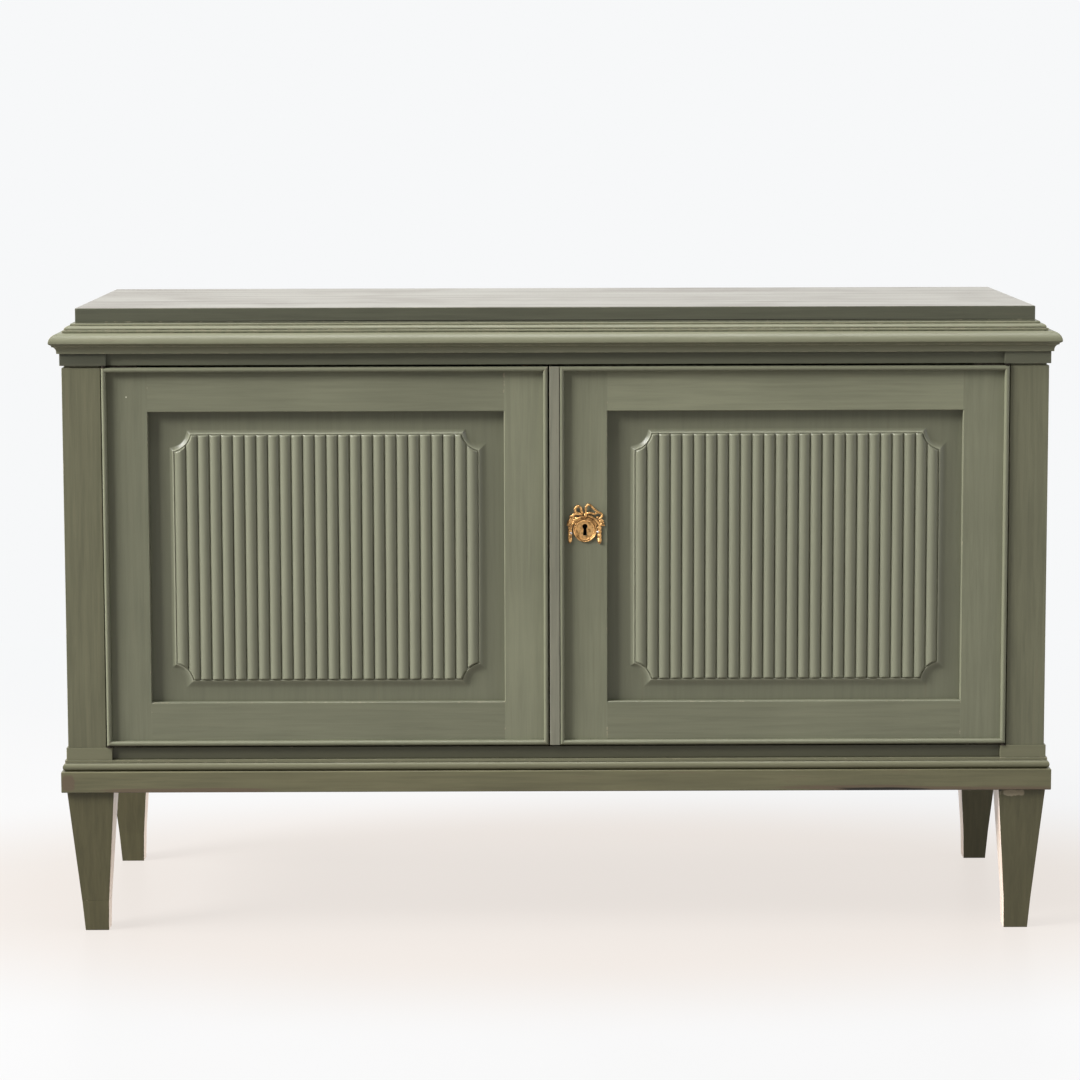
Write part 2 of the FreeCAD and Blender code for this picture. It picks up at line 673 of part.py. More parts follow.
def make_base():
    """Plinth, half round, corner blocks and the boards that close the case."""
    thick = size("plinth_thickness")
    wrap_moulding("plinth", plinth_profile, size("plinth_reach"), thick, size("leg_height"))
    wrap_moulding("base_moulding", base_profile, size("torus_reach"), thick, plinth_top)
    inner = case_half + size("plinth_reach") - thick
    rear_board = add_body("plinth_back")
    outline = new_sketch(rear_board, "plinth_back_outline", "XZ_Plane")
    shoulder = band_bottom - size("leg_height")
    tall = band_top - size("leg_height")
    draw(outline, [
        (-inner, NONE), (inner, NONE), (inner, shoulder), (post_inner, shoulder), (post_inner, tall),
        (-post_inner, tall), (-post_inner, shoulder), (-inner, shoulder),
    ])
    pad(rear_board, outline, thick)
    place(rear_board, NONE, back_y, size("leg_height"))
    keep(rear_board, "plinth_back")

    floor_top = band_top + size("bottom_board_thickness")
    side = case_half - size("side_rail_thickness") - size("board_play")
    notch = post_inner - size("board_play")
    front = door_back_y + size("door_stop_gap")
    front_notch = face_y + size("post_width") + size("board_play")
    rear_notch = back_y - size("post_width") - size("board_play")
    rear = rear_inside_y - size("board_play")
    floor = add_body("bottom_board")
    outline = new_sketch(floor, "bottom_outline", "XY_Plane")
    draw(outline, [
        (-notch, front), (notch, front), (notch, front_notch), (side, front_notch),
        (side, rear_notch), (notch, rear_notch), (notch, rear), (-notch, rear),
        (-notch, rear_notch), (-side, rear_notch), (-side, front_notch), (-notch, front_notch),
    ])
    pad(floor, outline, size("bottom_board_thickness"))
    place(floor, NONE, NONE, band_top)
    keep(floor, "bottom_board")

    blocks = []
    block = size("corner_block_size")
    for where, hand in HANDS:
        for depth_name, toward_back in (("front", 1), ("rear", -1)):
            label = "corner_block_%s_%s" % (depth_name, where)
            body = add_body(label)
            outline = new_sketch(body, label + "_outline", "XY_Plane")
            draw(outline, [(x * -hand, y * toward_back) for x, y in rectangle(NONE, NONE, block, block)])
            inset_x, inset_y = corner_block_insets(toward_back)
            centre = size("leg_tenon_wall") + size("leg_tenon_radius")
            draw_circle(outline, centre * -hand, centre * toward_back,
                        size("leg_tenon_radius") + size("leg_tenon_play"))
            pad(body, outline, band_bottom - size("leg_height"))
            place(body, (case_half - inset_x) * hand,
                  face_y + inset_y if toward_back == 1 else back_y - inset_y, size("leg_height"))
            body.Label = label
            blocks.append(body)
    group("corner_blocks", blocks)


def corner_block_insets(toward_back):
    """A corner block's outer faces, inwards from the case's side and from its front or back."""
    side = size("plinth_thickness") - size("plinth_reach")
    return side, side if toward_back == 1 else size("plinth_thickness")


def leg_levels(toward_back):
    """Foot, knee and top of a leg: height, setback from the sides, setback from front or back, size."""
    rear = toward_back == -1
    return [
        (NONE, size("leg_foot_setback"),
         size("leg_rear_foot_setback") if rear else size("leg_foot_setback"), size("leg_foot_size")),
        (size("leg_knee_height"), size("leg_knee_setback"),
         size("leg_rear_knee_setback") if rear else size("leg_knee_setback"), size("leg_knee_size")),
        (size("leg_height"), NONE, NONE, size("leg_top_size")),
    ]


def side_loop(levels, axis, sign):
    """A leg's outline seen from the front (axis 1) or the side (axis 2), from its lowest level to its highest."""
    outer = [(level[axis], level[0]) for level in levels]
    inner = [(level[axis] + level[3], level[0]) for level in reversed(levels)]
    return [(across * sign, up) for across, up in outer + inner]


def taper(label, hand, toward_back, levels):
    """A length of a leg: its front outline run from front to back, then trimmed to its side outline."""
    body = add_body(label)
    deep = size("leg_top_size")
    front = new_sketch(body, label + "_front", "XZ_Plane")
    draw(front, side_loop(levels, 1, -hand))
    pad(body, front, deep, toward_back == 1)
    side = new_sketch(body, label + "_side", "YZ_Plane")
    waste = rectangle(-overrun, levels[0][0] - overrun, deep + overrun, levels[-1][0] + overrun)
    draw(side, [(along * toward_back, up) for along, up in waste])
    draw(side, side_loop(levels, 2, toward_back))
    cut(body, side)
    reach = size("leg_reach")
    place(body, (case_half + reach) * hand, face_y - reach if toward_back == 1 else back_y, NONE)
    return body


def make_legs():
    """Four tapered legs with round tenons; the front left one has a pieced foot."""
    for where, hand in HANDS:
        for depth_name, toward_back in (("front", 1), ("rear", -1)):
            label = "leg_%s_%s" % (depth_name, where)
            levels = leg_levels(toward_back)
            pieced = where == "left" and toward_back == 1
            body = taper(label, hand, toward_back, levels[1:] if pieced else levels)
            tenon = new_sketch(body, label + "_tenon", "XY_Plane", size("leg_height"))
            inset_x, inset_y = corner_block_insets(toward_back)
            reach = size("leg_reach")
            centre = size("leg_tenon_wall") + size("leg_tenon_radius")
            across = inset_x + reach + centre
            along = inset_y + centre + (reach if toward_back == 1 else NONE)
            draw_circle(tenon, across * -hand, along * toward_back, size("leg_tenon_radius"))
            pad(body, tenon, size("leg_tenon_length"))
            keep(body, label)
            if pieced:
                keep(taper("foot_piece_front_left", hand, toward_back, levels[:2]), "foot_piece_front_left")


def make_inside():
    """Back boards, shelf and its bearers."""
    play = size("board_play")
    lap = size("back_board_lap")
    gap = size("back_board_gap")
    thick = size("back_board_thickness")
    span = (post_inner - play) * 2
    pitch = (span + gap) / BACK_BOARD_COUNT
    boards = []
    for index in range(BACK_BOARD_COUNT):
        label = "back_board_%d" % (index + 1)
        body = add_body(label)
        width = pitch - gap
        outline = new_sketch(body, label + "_outline", "XY_Plane")
        loop = [(NONE, NONE), (width, NONE)]
        if index < BACK_BOARD_COUNT - 1:
            loop += [(width, thick / 2), (width + lap, thick / 2), (width + lap, thick)]
        else:
            loop += [(width, thick)]
        if index > 0:
            loop += [(lap + gap, thick), (lap + gap, thick / 2 - gap), (NONE, thick / 2 - gap)]
        else:
            loop += [(NONE, thick)]
        draw(outline, loop)
        pad(body, outline, post_top - band_top)
        place(body, -(post_inner - play) + pitch * index, rear_inside_y, band_top)
        body.Label = label
        boards.append(body)
    group("back_boards", boards)

    shelf_top = band_top + size("bottom_board_thickness") + size("shelf_height")
    shelf_low = shelf_top - size("shelf_thickness")
    batten_low = shelf_low - size("shelf_batten_height")
    front = face_y + size("post_width")
    rear = back_y - size("post_width")
    outer = case_half - size("side_panel_recess") - size("side_panel_thickness") - size("panel_play")
    battens = []
    for where, hand in HANDS:
        low_x = (outer - size("shelf_batten_width")) * hand
        high_x = outer * hand
        low_x, high_x = (low_x, high_x) if hand == 1 else (high_x, low_x)
        low, high = (low_x, front, batten_low), (high_x, rear, shelf_low)
        battens.append(board("shelf_batten_" + where, low, high, False))
    group("shelf_battens", battens)
    half = outer - play
    notch = post_inner - play
    shelf = add_body("shelf")
    outline = new_sketch(shelf, "shelf_outline", "XY_Plane")
    draw(outline, [
        (-half, front), (half, front), (half, rear - play), (notch, rear - play), (notch, rear_inside_y - play),
        (-notch, rear_inside_y - play), (-notch, rear - play), (-half, rear - play),
    ])
    pad(shelf, outline, size("shelf_thickness"))
    place(shelf, NONE, NONE, shelf_low)
    keep(shelf, "shelf")


# A door lies in its own frame: inwards from its hinged edge, back from the frame face, up from its foot.
def door_point(hand, inward):
    """Where a distance in from the hinged edge of a door lies across the case."""
    return (post_inner - size("door_side_gap") - inward) * hand


# The two doors, by the hand of their hinged edge.
hinged_edge = post_inner - size("door_side_gap")
DOOR_WIDTHS = {-1: hinged_edge + left_free_edge, 1: hinged_edge + size("meeting_offset")}
DOOR_LOCK_STILES = {-1: size("left_meeting_stile_width"), 1: size("lock_stile_width")}
DOOR_STRIPS = {-1: NONE, 1: size("meeting_strip_width")}
groove_front = size("panel_recess") - size("panel_play")
groove_back = size("panel_recess") + size("panel_thickness") + size("panel_play")


def grooved_profile(width):
    """Section of a door frame member: outer edge at zero, grooved and eased at its inner edge."""
    ease = size("frame_chamfer")
    deep = size("panel_groove_depth")
    thick = size("door_thickness")
    return [
        (NONE, NONE), (width - ease, NONE), (width, ease), (width, groove_front),
        (width - deep, groove_front), (width - deep, groove_back), (width, groove_back),
        (width, thick), (NONE, thick),
    ]


def stile(label, hand, edge, inward_sign, width):
    """An upright of a door frame, its groove towards the panel."""
    body = add_body(label)
    section = new_sketch(body, label + "_section", "XY_Plane")
    draw(section, [(x * (-hand * inward_sign), y) for x, y in grooved_profile(width)])
    pad(body, section, size("door_height"))
    place(body, edge, door_face_y, door_bottom)
    return body


def rail(label, low_x, high_x, width, outer_z, up):
    """A cross member of a door frame with stub tenons in the stiles' grooves."""
    body = add_body(label)
    section = new_sketch(body, label + "_section", "YZ_Plane")
    draw(section, [(y, x * -up) for x, y in grooved_profile(width)])
    pad(body, section, high_x - low_x)
    stub = size("panel_groove_depth") - size("panel_edge_play")
    tenon = new_sketch(body, label + "_tenon", "YZ_Plane", -stub)
    solid = width - size("panel_groove_depth")
    play = size("panel_play")
    draw(tenon, [(y, x * -up) for x, y in rectangle(NONE, groove_front + play, solid, groove_back - play)])
    pad(body, tenon, high_x - low_x + stub * 2)
    place(body, low_x, door_face_y, outer_z)
    keep(body, label)


def incurved_outline(half_width, half_height, inset):
    """A rectangle whose corners are bitten by circles centred on the corners, drawn `inset` inside it."""
    radius = size("field_corner_radius") + inset
    near = other_leg(radius, inset) if inset is not NONE else radius
    x, y = half_width - inset, half_height - inset
    bite_x, bite_y = half_width - near, half_height - near
    return [
        (bite_x, -y), arc_to(x, -bite_y, radius, 1), (x, bite_y), arc_to(bite_x, y, radius, 1),
        (-bite_x, y), arc_to(-x, bite_y, radius, 1), (-x, -bite_y), arc_to(-bite_x, -y, radius, 1),
    ]


def reeded_panel(label, hand, low_x, high_x, low_z, high_z):
    """A panel in the frame's groove: a raised lip with incurved corners round a field of reeds."""
    tongue = size("panel_groove_depth") - size("panel_edge_play")
    half_x = (high_x - low_x) / 2 + tongue
    half_z = (high_z - low_z) / 2 + tongue
    body = add_body(label)
    outline = new_sketch(body, label + "_outline", "XZ_Plane")
    draw(outline, rectangle(-half_x, -half_z, half_x, half_z))
    pad(body, outline, size("panel_thickness"), True)

    shift_x = size("field_shift") * hand
    shift_z = -size("field_lower_shift")
    field_x = (high_x - low_x) / 2 - size("field_side_margin")
    field_z = (high_z - low_z) / 2 - size("field_end_margin")
    lip = size("lip_width")
    border = lip + size("reed_border_gap")
    reeds_width = (field_x - border) * 2
    pitch = (reeds_width + size("reed_gap")) / REED_COUNT
    reed_width = pitch - size("reed_gap")
    shoulder = size("reed_shoulder")
    crown = size("reed_crown")

    reed = new_sketch(body, label + "_reed", "XY_Plane", shift_z - field_z + border)
    start = shift_x - field_x + border
    draw(reed, [
        (start, NONE), (start, -shoulder),
        arc_to(start + reed_width, -shoulder, crown_radius(reed_width, crown), -1),
        (start + reed_width, NONE),
    ])
    reed_pad = pad(body, reed, (field_z - border) * 2)
    DOC.recompute()
    row = body.newObject("PartDesign::LinearPattern", label + "_reeds")
    row.Originals = [reed_pad]
    row.Direction = (reed, ["H_Axis"])
    row.Occurrences = REED_COUNT
    bind(row, "Length", pitch * (REED_COUNT - 1))
    body.Tip = row
    DOC.recompute()

    def shifted(loop):
        """The same outline round the field's middle."""
        return [(point[0] + shift_x, point[1] + shift_z) + tuple(point[2:]) for point in loop]

    trim = new_sketch(body, label + "_trim", "XZ_Plane")
    clear = overrun
    draw(trim, shifted(rectangle(-field_x - clear, -field_z - clear, field_x + clear, field_z + clear)))
    draw(trim, shifted(incurved_outline(field_x, field_z, border)))
    cut(body, trim, shoulder + crown + overrun, True)

    ring = new_sketch(body, label + "_lip", "XZ_Plane")
    draw(ring, shifted(incurved_outline(field_x, field_z, NONE)))
    draw(ring, shifted(incurved_outline(field_x, field_z, lip)))
    ring_pad = pad(body, ring, size("lip_height"))
    DOC.recompute()
    slope = body.newObject("PartDesign::Chamfer", label + "_slope")
    slope.Base = (ring_pad, outer_edge_names(ring_pad.Shape, -size("lip_height").value))
    bind(slope, "Size", size("lip_slope"))
    place(body, (low_x + high_x) / 2, door_face_y + size("panel_recess"), (low_z + high_z) / 2)
    keep(body, label)


def outer_edge_names(shape, y):
    """The names of the edges round the outside of the one flat face that lies at a depth."""
    near_share = 0.001
    fuzz = abs(y) * near_share
    boxes = [(face, face.BoundBox) for face in shape.Faces]
    faces = [face for face, box in boxes if abs(box.YMin - y) < fuzz and abs(box.YMax - y) < fuzz]
    outside = faces[0].OuterWire.Edges
    return [
        "Edge%d" % (index + 1) for index, edge in enumerate(shape.Edges)
        if any(edge.isSame(other) for other in outside)]


def bead_profile():
    """The section of a cock bead: outer edge at zero, round nose."""
    width = size("bead_width")
    radius = width / 2
    straight = size("bead_proud") - radius
    return [
        (NONE, NONE), (width, NONE), (width, straight), arc_to(radius, size("bead_proud"), radius, -1),
        arc_to(NONE, straight, radius, -1),
    ]


def bead_frame(label, low_x, high_x, low_z, high_z):
    """Four beads mitred round a door, each with its nose to the front."""
    width = size("bead_width")
    vector = FreeCAD.Vector
    front = vector(0, -1, 0)
    lengths = [
        ("lower", high_x - low_x, vector(1, 0, 0), vector(0, 0, 1), low_x, low_z),
        ("right", high_z - low_z, vector(0, 0, 1), vector(-1, 0, 0), high_x, low_z),
        ("upper", high_x - low_x, vector(-1, 0, 0), vector(0, 0, -1), high_x, high_z),
        ("left", high_z - low_z, vector(0, 0, -1), vector(1, 0, 0), low_x, high_z),
    ]
    beads = []
    for name, run, along, inward, x, z in lengths:
        bead = moulding("%s_%s" % (label, name), bead_profile(), run, NONE, width, True, True)
        place(bead, x, door_face_y, z, FreeCAD.Rotation(along, inward, front, "XYZ"))
        bead.Label = "%s_%s" % (label, name)
        beads.append(bead)
    group(label, beads)


axis_x = hinged_edge - size("bead_width") / 2
axis_y = door_face_y - size("bead_proud") + size("bead_width") / 2
lower_plate = (size("door_bottom_gap") - size("hinge_play")) / 2
upper_plate = (size("door_top_gap") - size("hinge_play")) / 2


def hinge_plate(label, hand, low, thick, pin_reach):
    """A thin plate with a round eye on the pivot line; it carries the pin or has its hole."""
    body = add_body(label)
    outline = new_sketch(body, label + "_outline", "XY_Plane")
    eye = size("hinge_eye_radius")
    back = -axis_y + face_y + size("frieze_recess") + size("hinge_plate_width")
    length = size("hinge_plate_length")
    front = face_y + size("base_rail_recess") - axis_y
    draw(outline, [
        arc_to(eye * -hand, NONE, eye, hand), (eye * -hand, front), (length * -hand, front),
        (length * -hand, back), (eye * hand, back), (eye * hand, NONE), arc_to(NONE, -eye, eye, hand),
    ])
    if pin_reach is None:
        draw_circle(outline, NONE, NONE, size("hinge_pin_radius") + size("hinge_pin_play"))
    pad(body, outline, thick)
    if pin_reach is not None:
        pin = new_sketch(body, label + "_pin", "XY_Plane", thick if pin_reach.value > 0 else NONE)
        draw_circle(pin, NONE, NONE, size("hinge_pin_radius"))
        long = pin_reach if pin_reach.value > 0 else -pin_reach
        pad(body, pin, long, pin_reach.value < 0)
    place(body, axis_x * hand, axis_y, low)
    body.Label = label
    return body


def make_hinges():
    """Pivot hinges above and below each door: holed plates on the case, pinned plates on the door."""
    case_plates = []
    for where, hand in HANDS:
        case_plates.append(hinge_plate("case_lower_plate_" + where, hand, band_top, lower_plate, None))
        case_plates.append(
            hinge_plate("case_upper_plate_" + where, hand, frieze_bottom - upper_plate, upper_plate, None))
        lower_reach = -(lower_plate + size("hinge_play"))
        upper_reach = upper_plate + size("hinge_play")
        door_plates = [
            hinge_plate("door_lower_plate_" + where, hand, door_bottom - lower_plate, lower_plate, lower_reach),
            hinge_plate("door_upper_plate_" + where, hand, door_top, upper_plate, upper_reach),
        ]
        group(where + "_door_hinge_plates", door_plates)
    group("case_hinge_plates", case_plates)


lock_z = size("keyhole_height_above_floor")
bolt_y = door_back_y - size("lock_wall") - size("lock_bolt_play") - size("lock_bolt_thickness") / 2
lock_edge = -size("meeting_offset")


def make_door(where, hand):
    """One door: two stiles, two rails, a reeded panel and mitred beads."""
    name = where + "_door_"
    width = DOOR_WIDTHS[hand]
    free = DOOR_LOCK_STILES[hand]
    hinge_edge = door_point(hand, NONE)
    free_edge = door_point(hand, width)
    near = door_point(hand, size("hinge_stile_width"))
    far = door_point(hand, width - free)
    low_x, high_x = (near, far) if hand == -1 else (far, near)
    low_z = door_bottom + size("bottom_rail_width")
    high_z = door_top - size("top_rail_width")
    keep(stile(name + "hinge_stile", hand, hinge_edge, 1, size("hinge_stile_width")), name + "hinge_stile")
    if hand == -1:
        meeting = stile(name + "meeting_stile", hand, free_edge, -1, free)
        mortise_meeting_stile(meeting)
        keep(meeting, name + "meeting_stile")
    else:
        meeting = stile(name + "lock_stile", hand, free_edge, -1, free)
        mortise_lock_stile(meeting)
        keep(meeting, name + "lock_stile")
    rail(name + "bottom_rail", low_x, high_x, size("bottom_rail_width"), door_bottom, -1)
    rail(name + "top_rail", low_x, high_x, size("top_rail_width"), door_top, 1)
    reeded_panel(name + "panel", hand, low_x, high_x, low_z, high_z)
    bead_free = door_point(hand, width - DOOR_STRIPS[hand])
    bead_low, bead_high = (hinge_edge, bead_free) if hand == -1 else (bead_free, hinge_edge)
    bead_frame(name + "beads", bead_low, bead_high, door_bottom, door_top)


def mortise_meeting_stile(body):
    """Slots in the left door's meeting stile: for the lock bolt, and for the flush bolt cases."""
    play = size("lock_mortise_play")
    half_high = size("lock_bolt_height") / 2 + play
    half_thick = size("lock_bolt_thickness") / 2 + play
    middle = lock_z - door_bottom
    slot = new_sketch(body, "strike_slot", "YZ_Plane")
    y = bolt_y - door_face_y
    draw(slot, rectangle(y - half_thick, middle - half_high, y + half_thick, middle + half_high))
    cut(body, slot, size("lock_bolt_travel") + size("door_meeting_gap"))
    half = size("flush_case_width") / 2
    length = size("flush_case_length")
    deep = size("flush_case_depth")
    x = -size("flush_bolt_inset")
    back = size("door_thickness")
    tall = size("door_height")
    for label, low, high in (("lower_case_slot", NONE, length), ("upper_case_slot", tall - length, tall)):
        slot = new_sketch(body, label, "XZ_Plane", -back)
        draw(slot, rectangle(x - half, low, x + half, high))
        cut(body, slot, deep, True)


def mortise_lock_stile(body):
    """A seat for the lock case in the back of the right door's lock stile, and the keyhole."""
    half = size("lock_height") / 2
    middle = lock_z - door_bottom
    back = size("door_thickness")
    seat = new_sketch(body, "lock_seat", "XZ_Plane", -back)
    low_x = NONE
    high_x = lock_case_width()
    draw(seat, rectangle(low_x - overrun, middle - half, high_x, middle + half))
    cut(body, seat, size("lock_thickness"), True)
    hole = new_sketch(body, "keyhole", "XZ_Plane")
    draw(hole, keyhole_loop(size("keyhole_offset") - lock_edge, middle))
    cut(body, hole)


def lock_case_width():
    """The lock reaches from the door's edge to past the keyhole."""
    return size("lock_width") + size("meeting_offset")


def keyhole_loop(x, z):
    """A round hole with a slot below it."""
    radius = size("keyhole_radius")
    half = size("keyhole_slot_width") / 2
    neck = other_leg(radius, half)
    foot = z - size("keyhole_drop")
    return [
        (x - half, foot), (x + half, foot), (x + half, z - neck),
        arc_to(x + radius, z, radius, -1), arc_to(x, z + radius, radius, -1),
        arc_to(x - radius, z, radius, -1), arc_to(x - half, z - neck, radius, -1),
    ]


def make_lock():
    """Lock case, its bolt and the plate on the front."""
    wide = lock_case_width()
    tall = size("lock_height")
    thick = size("lock_thickness")
    wall = size("lock_wall")
    play = size("lock_bolt_play")
    case = add_body("lock_case")
    outline = new_sketch(case, "lock_outline", "XZ_Plane")
    draw(outline, rectangle(NONE, -tall / 2, wide, tall / 2))
    pad(case, outline, thick, True)
    half_bolt = size("lock_bolt_height") / 2 + play
    hollow = new_sketch(case, "lock_hollow", "XZ_Plane", -wall)
    draw(hollow, rectangle(wall, wall - tall / 2, wide - wall, tall / 2 - wall))
    cut(case, hollow, thick - wall * 2)
    mouth = new_sketch(case, "bolt_mouth", "YZ_Plane")
    low = thick - wall - play * 2 - size("lock_bolt_thickness")
    draw(mouth, rectangle(low, -half_bolt, thick - wall, half_bolt))
    cut(case, mouth, wall + overrun, True)
    hole = new_sketch(case, "lock_keyhole", "XZ_Plane")
    draw(hole, keyhole_loop(size("keyhole_offset") - lock_edge, NONE))
    cut(case, hole, wall)
    place(case, lock_edge, door_back_y - thick, lock_z)
    keep(case, "lock_case")

    half_high = size("lock_bolt_height") / 2
    half_thick = size("lock_bolt_thickness") / 2
    low_x = lock_edge + play
    board("lock_bolt", (low_x, bolt_y - half_thick, lock_z - half_high),
          (low_x + size("lock_bolt_length"), bolt_y + half_thick, lock_z + half_high))

    strip_proud = size("meeting_strip_proud")
    board("meeting_strip", (lock_edge, door_face_y - strip_proud, door_bottom),
          (lock_edge + size("meeting_strip_width"), door_face_y, door_top))


def make_escutcheon():
    """The lock plate: a disc with a raised ring, a ribbon bow above and a laurel swag down each side."""
    disc_z = -size("escutcheon_drop")
    plate = size("escutcheon_plate")
    radius = size("escutcheon_radius")
    body = add_body("escutcheon")
    outline = new_sketch(body, "escutcheon_disc", "XZ_Plane")
    draw_circle(outline, NONE, disc_z, radius)
    draw(outline, keyhole_loop(NONE, NONE))
    pad(body, outline, plate)
    ring = new_sketch(body, "escutcheon_ring", "XZ_Plane", plate)
    half = size("escutcheon_ring_width") / 2
    draw_circle(ring, NONE, disc_z, size("escutcheon_ring_radius") + half)
    draw_circle(ring, NONE, disc_z, size("escutcheon_ring_radius") - half)
    pad(body, ring, size("escutcheon_ring_height"))

    relief = size("escutcheon_relief")
    swags = new_sketch(body, "escutcheon_swags", "XZ_Plane")
    for side in (-1, 1):
        draw(swags, turned_loop(swag_loop(), side, disc_z))
    pad(body, swags, relief)
    loops = new_sketch(body, "escutcheon_loops", "XZ_Plane")
    loop_radius = size("bow_loop_radius")
    loop_z = disc_z + size("bow_rise") - loop_radius
    for side in (-1, 1):
        draw_circle(loops, size("bow_loop_reach") * side, loop_z, loop_radius)
        draw_circle(loops, size("bow_loop_reach") * side, loop_z, loop_radius - size("bow_ribbon_width"))
    pad(body, loops, relief)
    knot = new_sketch(body, "escutcheon_knot", "XZ_Plane")
    half_knot = size("bow_knot_width") / 2
    draw(knot, rectangle(-half_knot, disc_z + other_leg(radius, half_knot), half_knot, loop_z))
    pad(body, knot, relief)
    place(body, size("keyhole_offset"), door_face_y, lock_z)
    keep(body, "escutcheon")


def turned_loop(loop, side, lift):
    """A loop lifted and, where side is -1, turned over to the other hand."""
    turned = []
    for point in loop:
        bend = (point[2], point[3] * side) if len(point) > 2 else ()
        turned.append((point[0] * side, point[1] + lift) + bend)
    return turned


def swag_loop():
    """The right swag about the disc's middle: from its hanging end over the shoulder to the knot."""
    disc = size("escutcheon_radius")
    middle = size("swag_end_reach")
    half = size("swag_end_width") / 2
    fall = size("swag_fall")
    shoulder = size("swag_shoulder_rise")
    widest = size("swag_half_width")
    knot = size("bow_knot_width") / 2
    seam_share = 0.97
    waist_share = 0.5
    crest_share = 0.55
    crest_rise_share = 1.45
    swell_share = 0.6
    seam = disc * seam_share
    crest = disc * crest_rise_share
    swell = widest * swell_share
    return [
        (middle - half, half - fall), arc_to(middle, -fall, half, -1),
        arc_to(middle + half, half - fall, half, -1),
        (middle + half, shoulder * waist_share), arc_to(widest, shoulder, swell, -1),
        arc_to(widest * crest_share, crest, swell, -1), (knot, crest), (knot, other_leg(seam, knot)),
        arc_to(seam, NONE, seam, 1), (middle - half, -half),
    ]


def make_flush_bolts():
    """Two brass flush bolts let into the back of the left door's meeting stile."""
    half_case = size("flush_case_width") / 2
    length = size("flush_case_length")
    deep = size("flush_case_depth")
    play = size("flush_bolt_play")
    half_bar = size("flush_bolt_width") / 2
    half_thick = size("flush_bolt_thickness") / 2
    channel = half_bar + play
    cases = []
    knob = size("flush_knob_width") / 2
    for name, end_z, inward in (("upper", door_top, -1), ("lower", door_bottom, 1)):
        case = add_body(name + "_bolt_case")
        outline = new_sketch(case, name + "_case_outline", "XZ_Plane")
        draw(outline, [(x, z * inward) for x, z in rectangle(-half_case, NONE, half_case, length)])
        pad(case, outline, deep, True)
        low = (deep / 2) - half_thick - play
        high = (deep / 2) + half_thick + play
        bore = new_sketch(case, name + "_case_bore", "XZ_Plane", -low)
        room = size("flush_bolt_length") + size("flush_knob_height")
        draw(bore, [(x, z * inward) for x, z in rectangle(-channel, -overrun, channel, room)])
        cut(case, bore, high - low)
        window = new_sketch(case, name + "_case_window", "XZ_Plane", -high)
        start = size("flush_bolt_length") / 2 - size("flush_bolt_travel")
        stop = start + size("flush_knob_height") + size("flush_bolt_travel") + play
        draw(window, [(x, z * inward) for x, z in rectangle(-knob - play, start - play, knob + play, stop)])
        cut(case, window, deep - high + overrun)
        place(case, flush_x, door_back_y - deep, end_z)
        case.Label = name + "_bolt_case"
        cases.append(case)

        bar = add_body(name + "_bolt")
        section = new_sketch(bar, name + "_bar", "XZ_Plane")
        shape = rectangle(-half_bar, play, half_bar, size("flush_bolt_length"))
        draw(section, [(x, z * inward) for x, z in shape])
        pad(bar, section, half_thick * 2, True)
        thumb = new_sketch(bar, name + "_thumb", "XZ_Plane", -half_thick * 2)
        low_thumb = size("flush_bolt_length") / 2
        shape = rectangle(-knob, low_thumb, knob, low_thumb + size("flush_knob_height"))
        draw(thumb, [(x, z * inward) for x, z in shape])
        pad(bar, thumb, deep / 2 - half_thick + play, True)
        place(bar, flush_x, flush_y - half_thick, end_z)
        keep(bar, name + "_bolt")
    group("flush_bolt_cases", cases)


def check_and_write():
    """Stop at any failed or empty object, then write each node's file."""
    DOC.recompute()
    faults = [
        "%s: %s" % (thing.Label, ", ".join(thing.State)) for thing in DOC.Objects
        if "Invalid" in thing.State or "Error" in thing.State]
    for node in NODES:
        if node.Shape.isNull() or not node.Shape.isValid():
            faults.append("%s: no valid shape" % node.Label)
        elif not node.Shape.Solids:
            faults.append("%s: no solid" % node.Label)
    if faults:
        raise RuntimeError("; ".join(faults))
    os.makedirs("parts", exist_ok=True)
    for node in NODES:
        node.Shape.exportStep("parts/%s.step" % node.Label)
    print("nodes", len(NODES))


make_top()
make_posts()
make_front_rails()
make_sides()
make_base()
make_legs()
make_inside()
for where, hand in HANDS:
    make_door(where, hand)
make_hinges()
make_lock()
make_escutcheon()
make_flush_bolts()
check_and_write()
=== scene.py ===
import math

import bpy
import numpy as np
from mathutils import Matrix, Vector


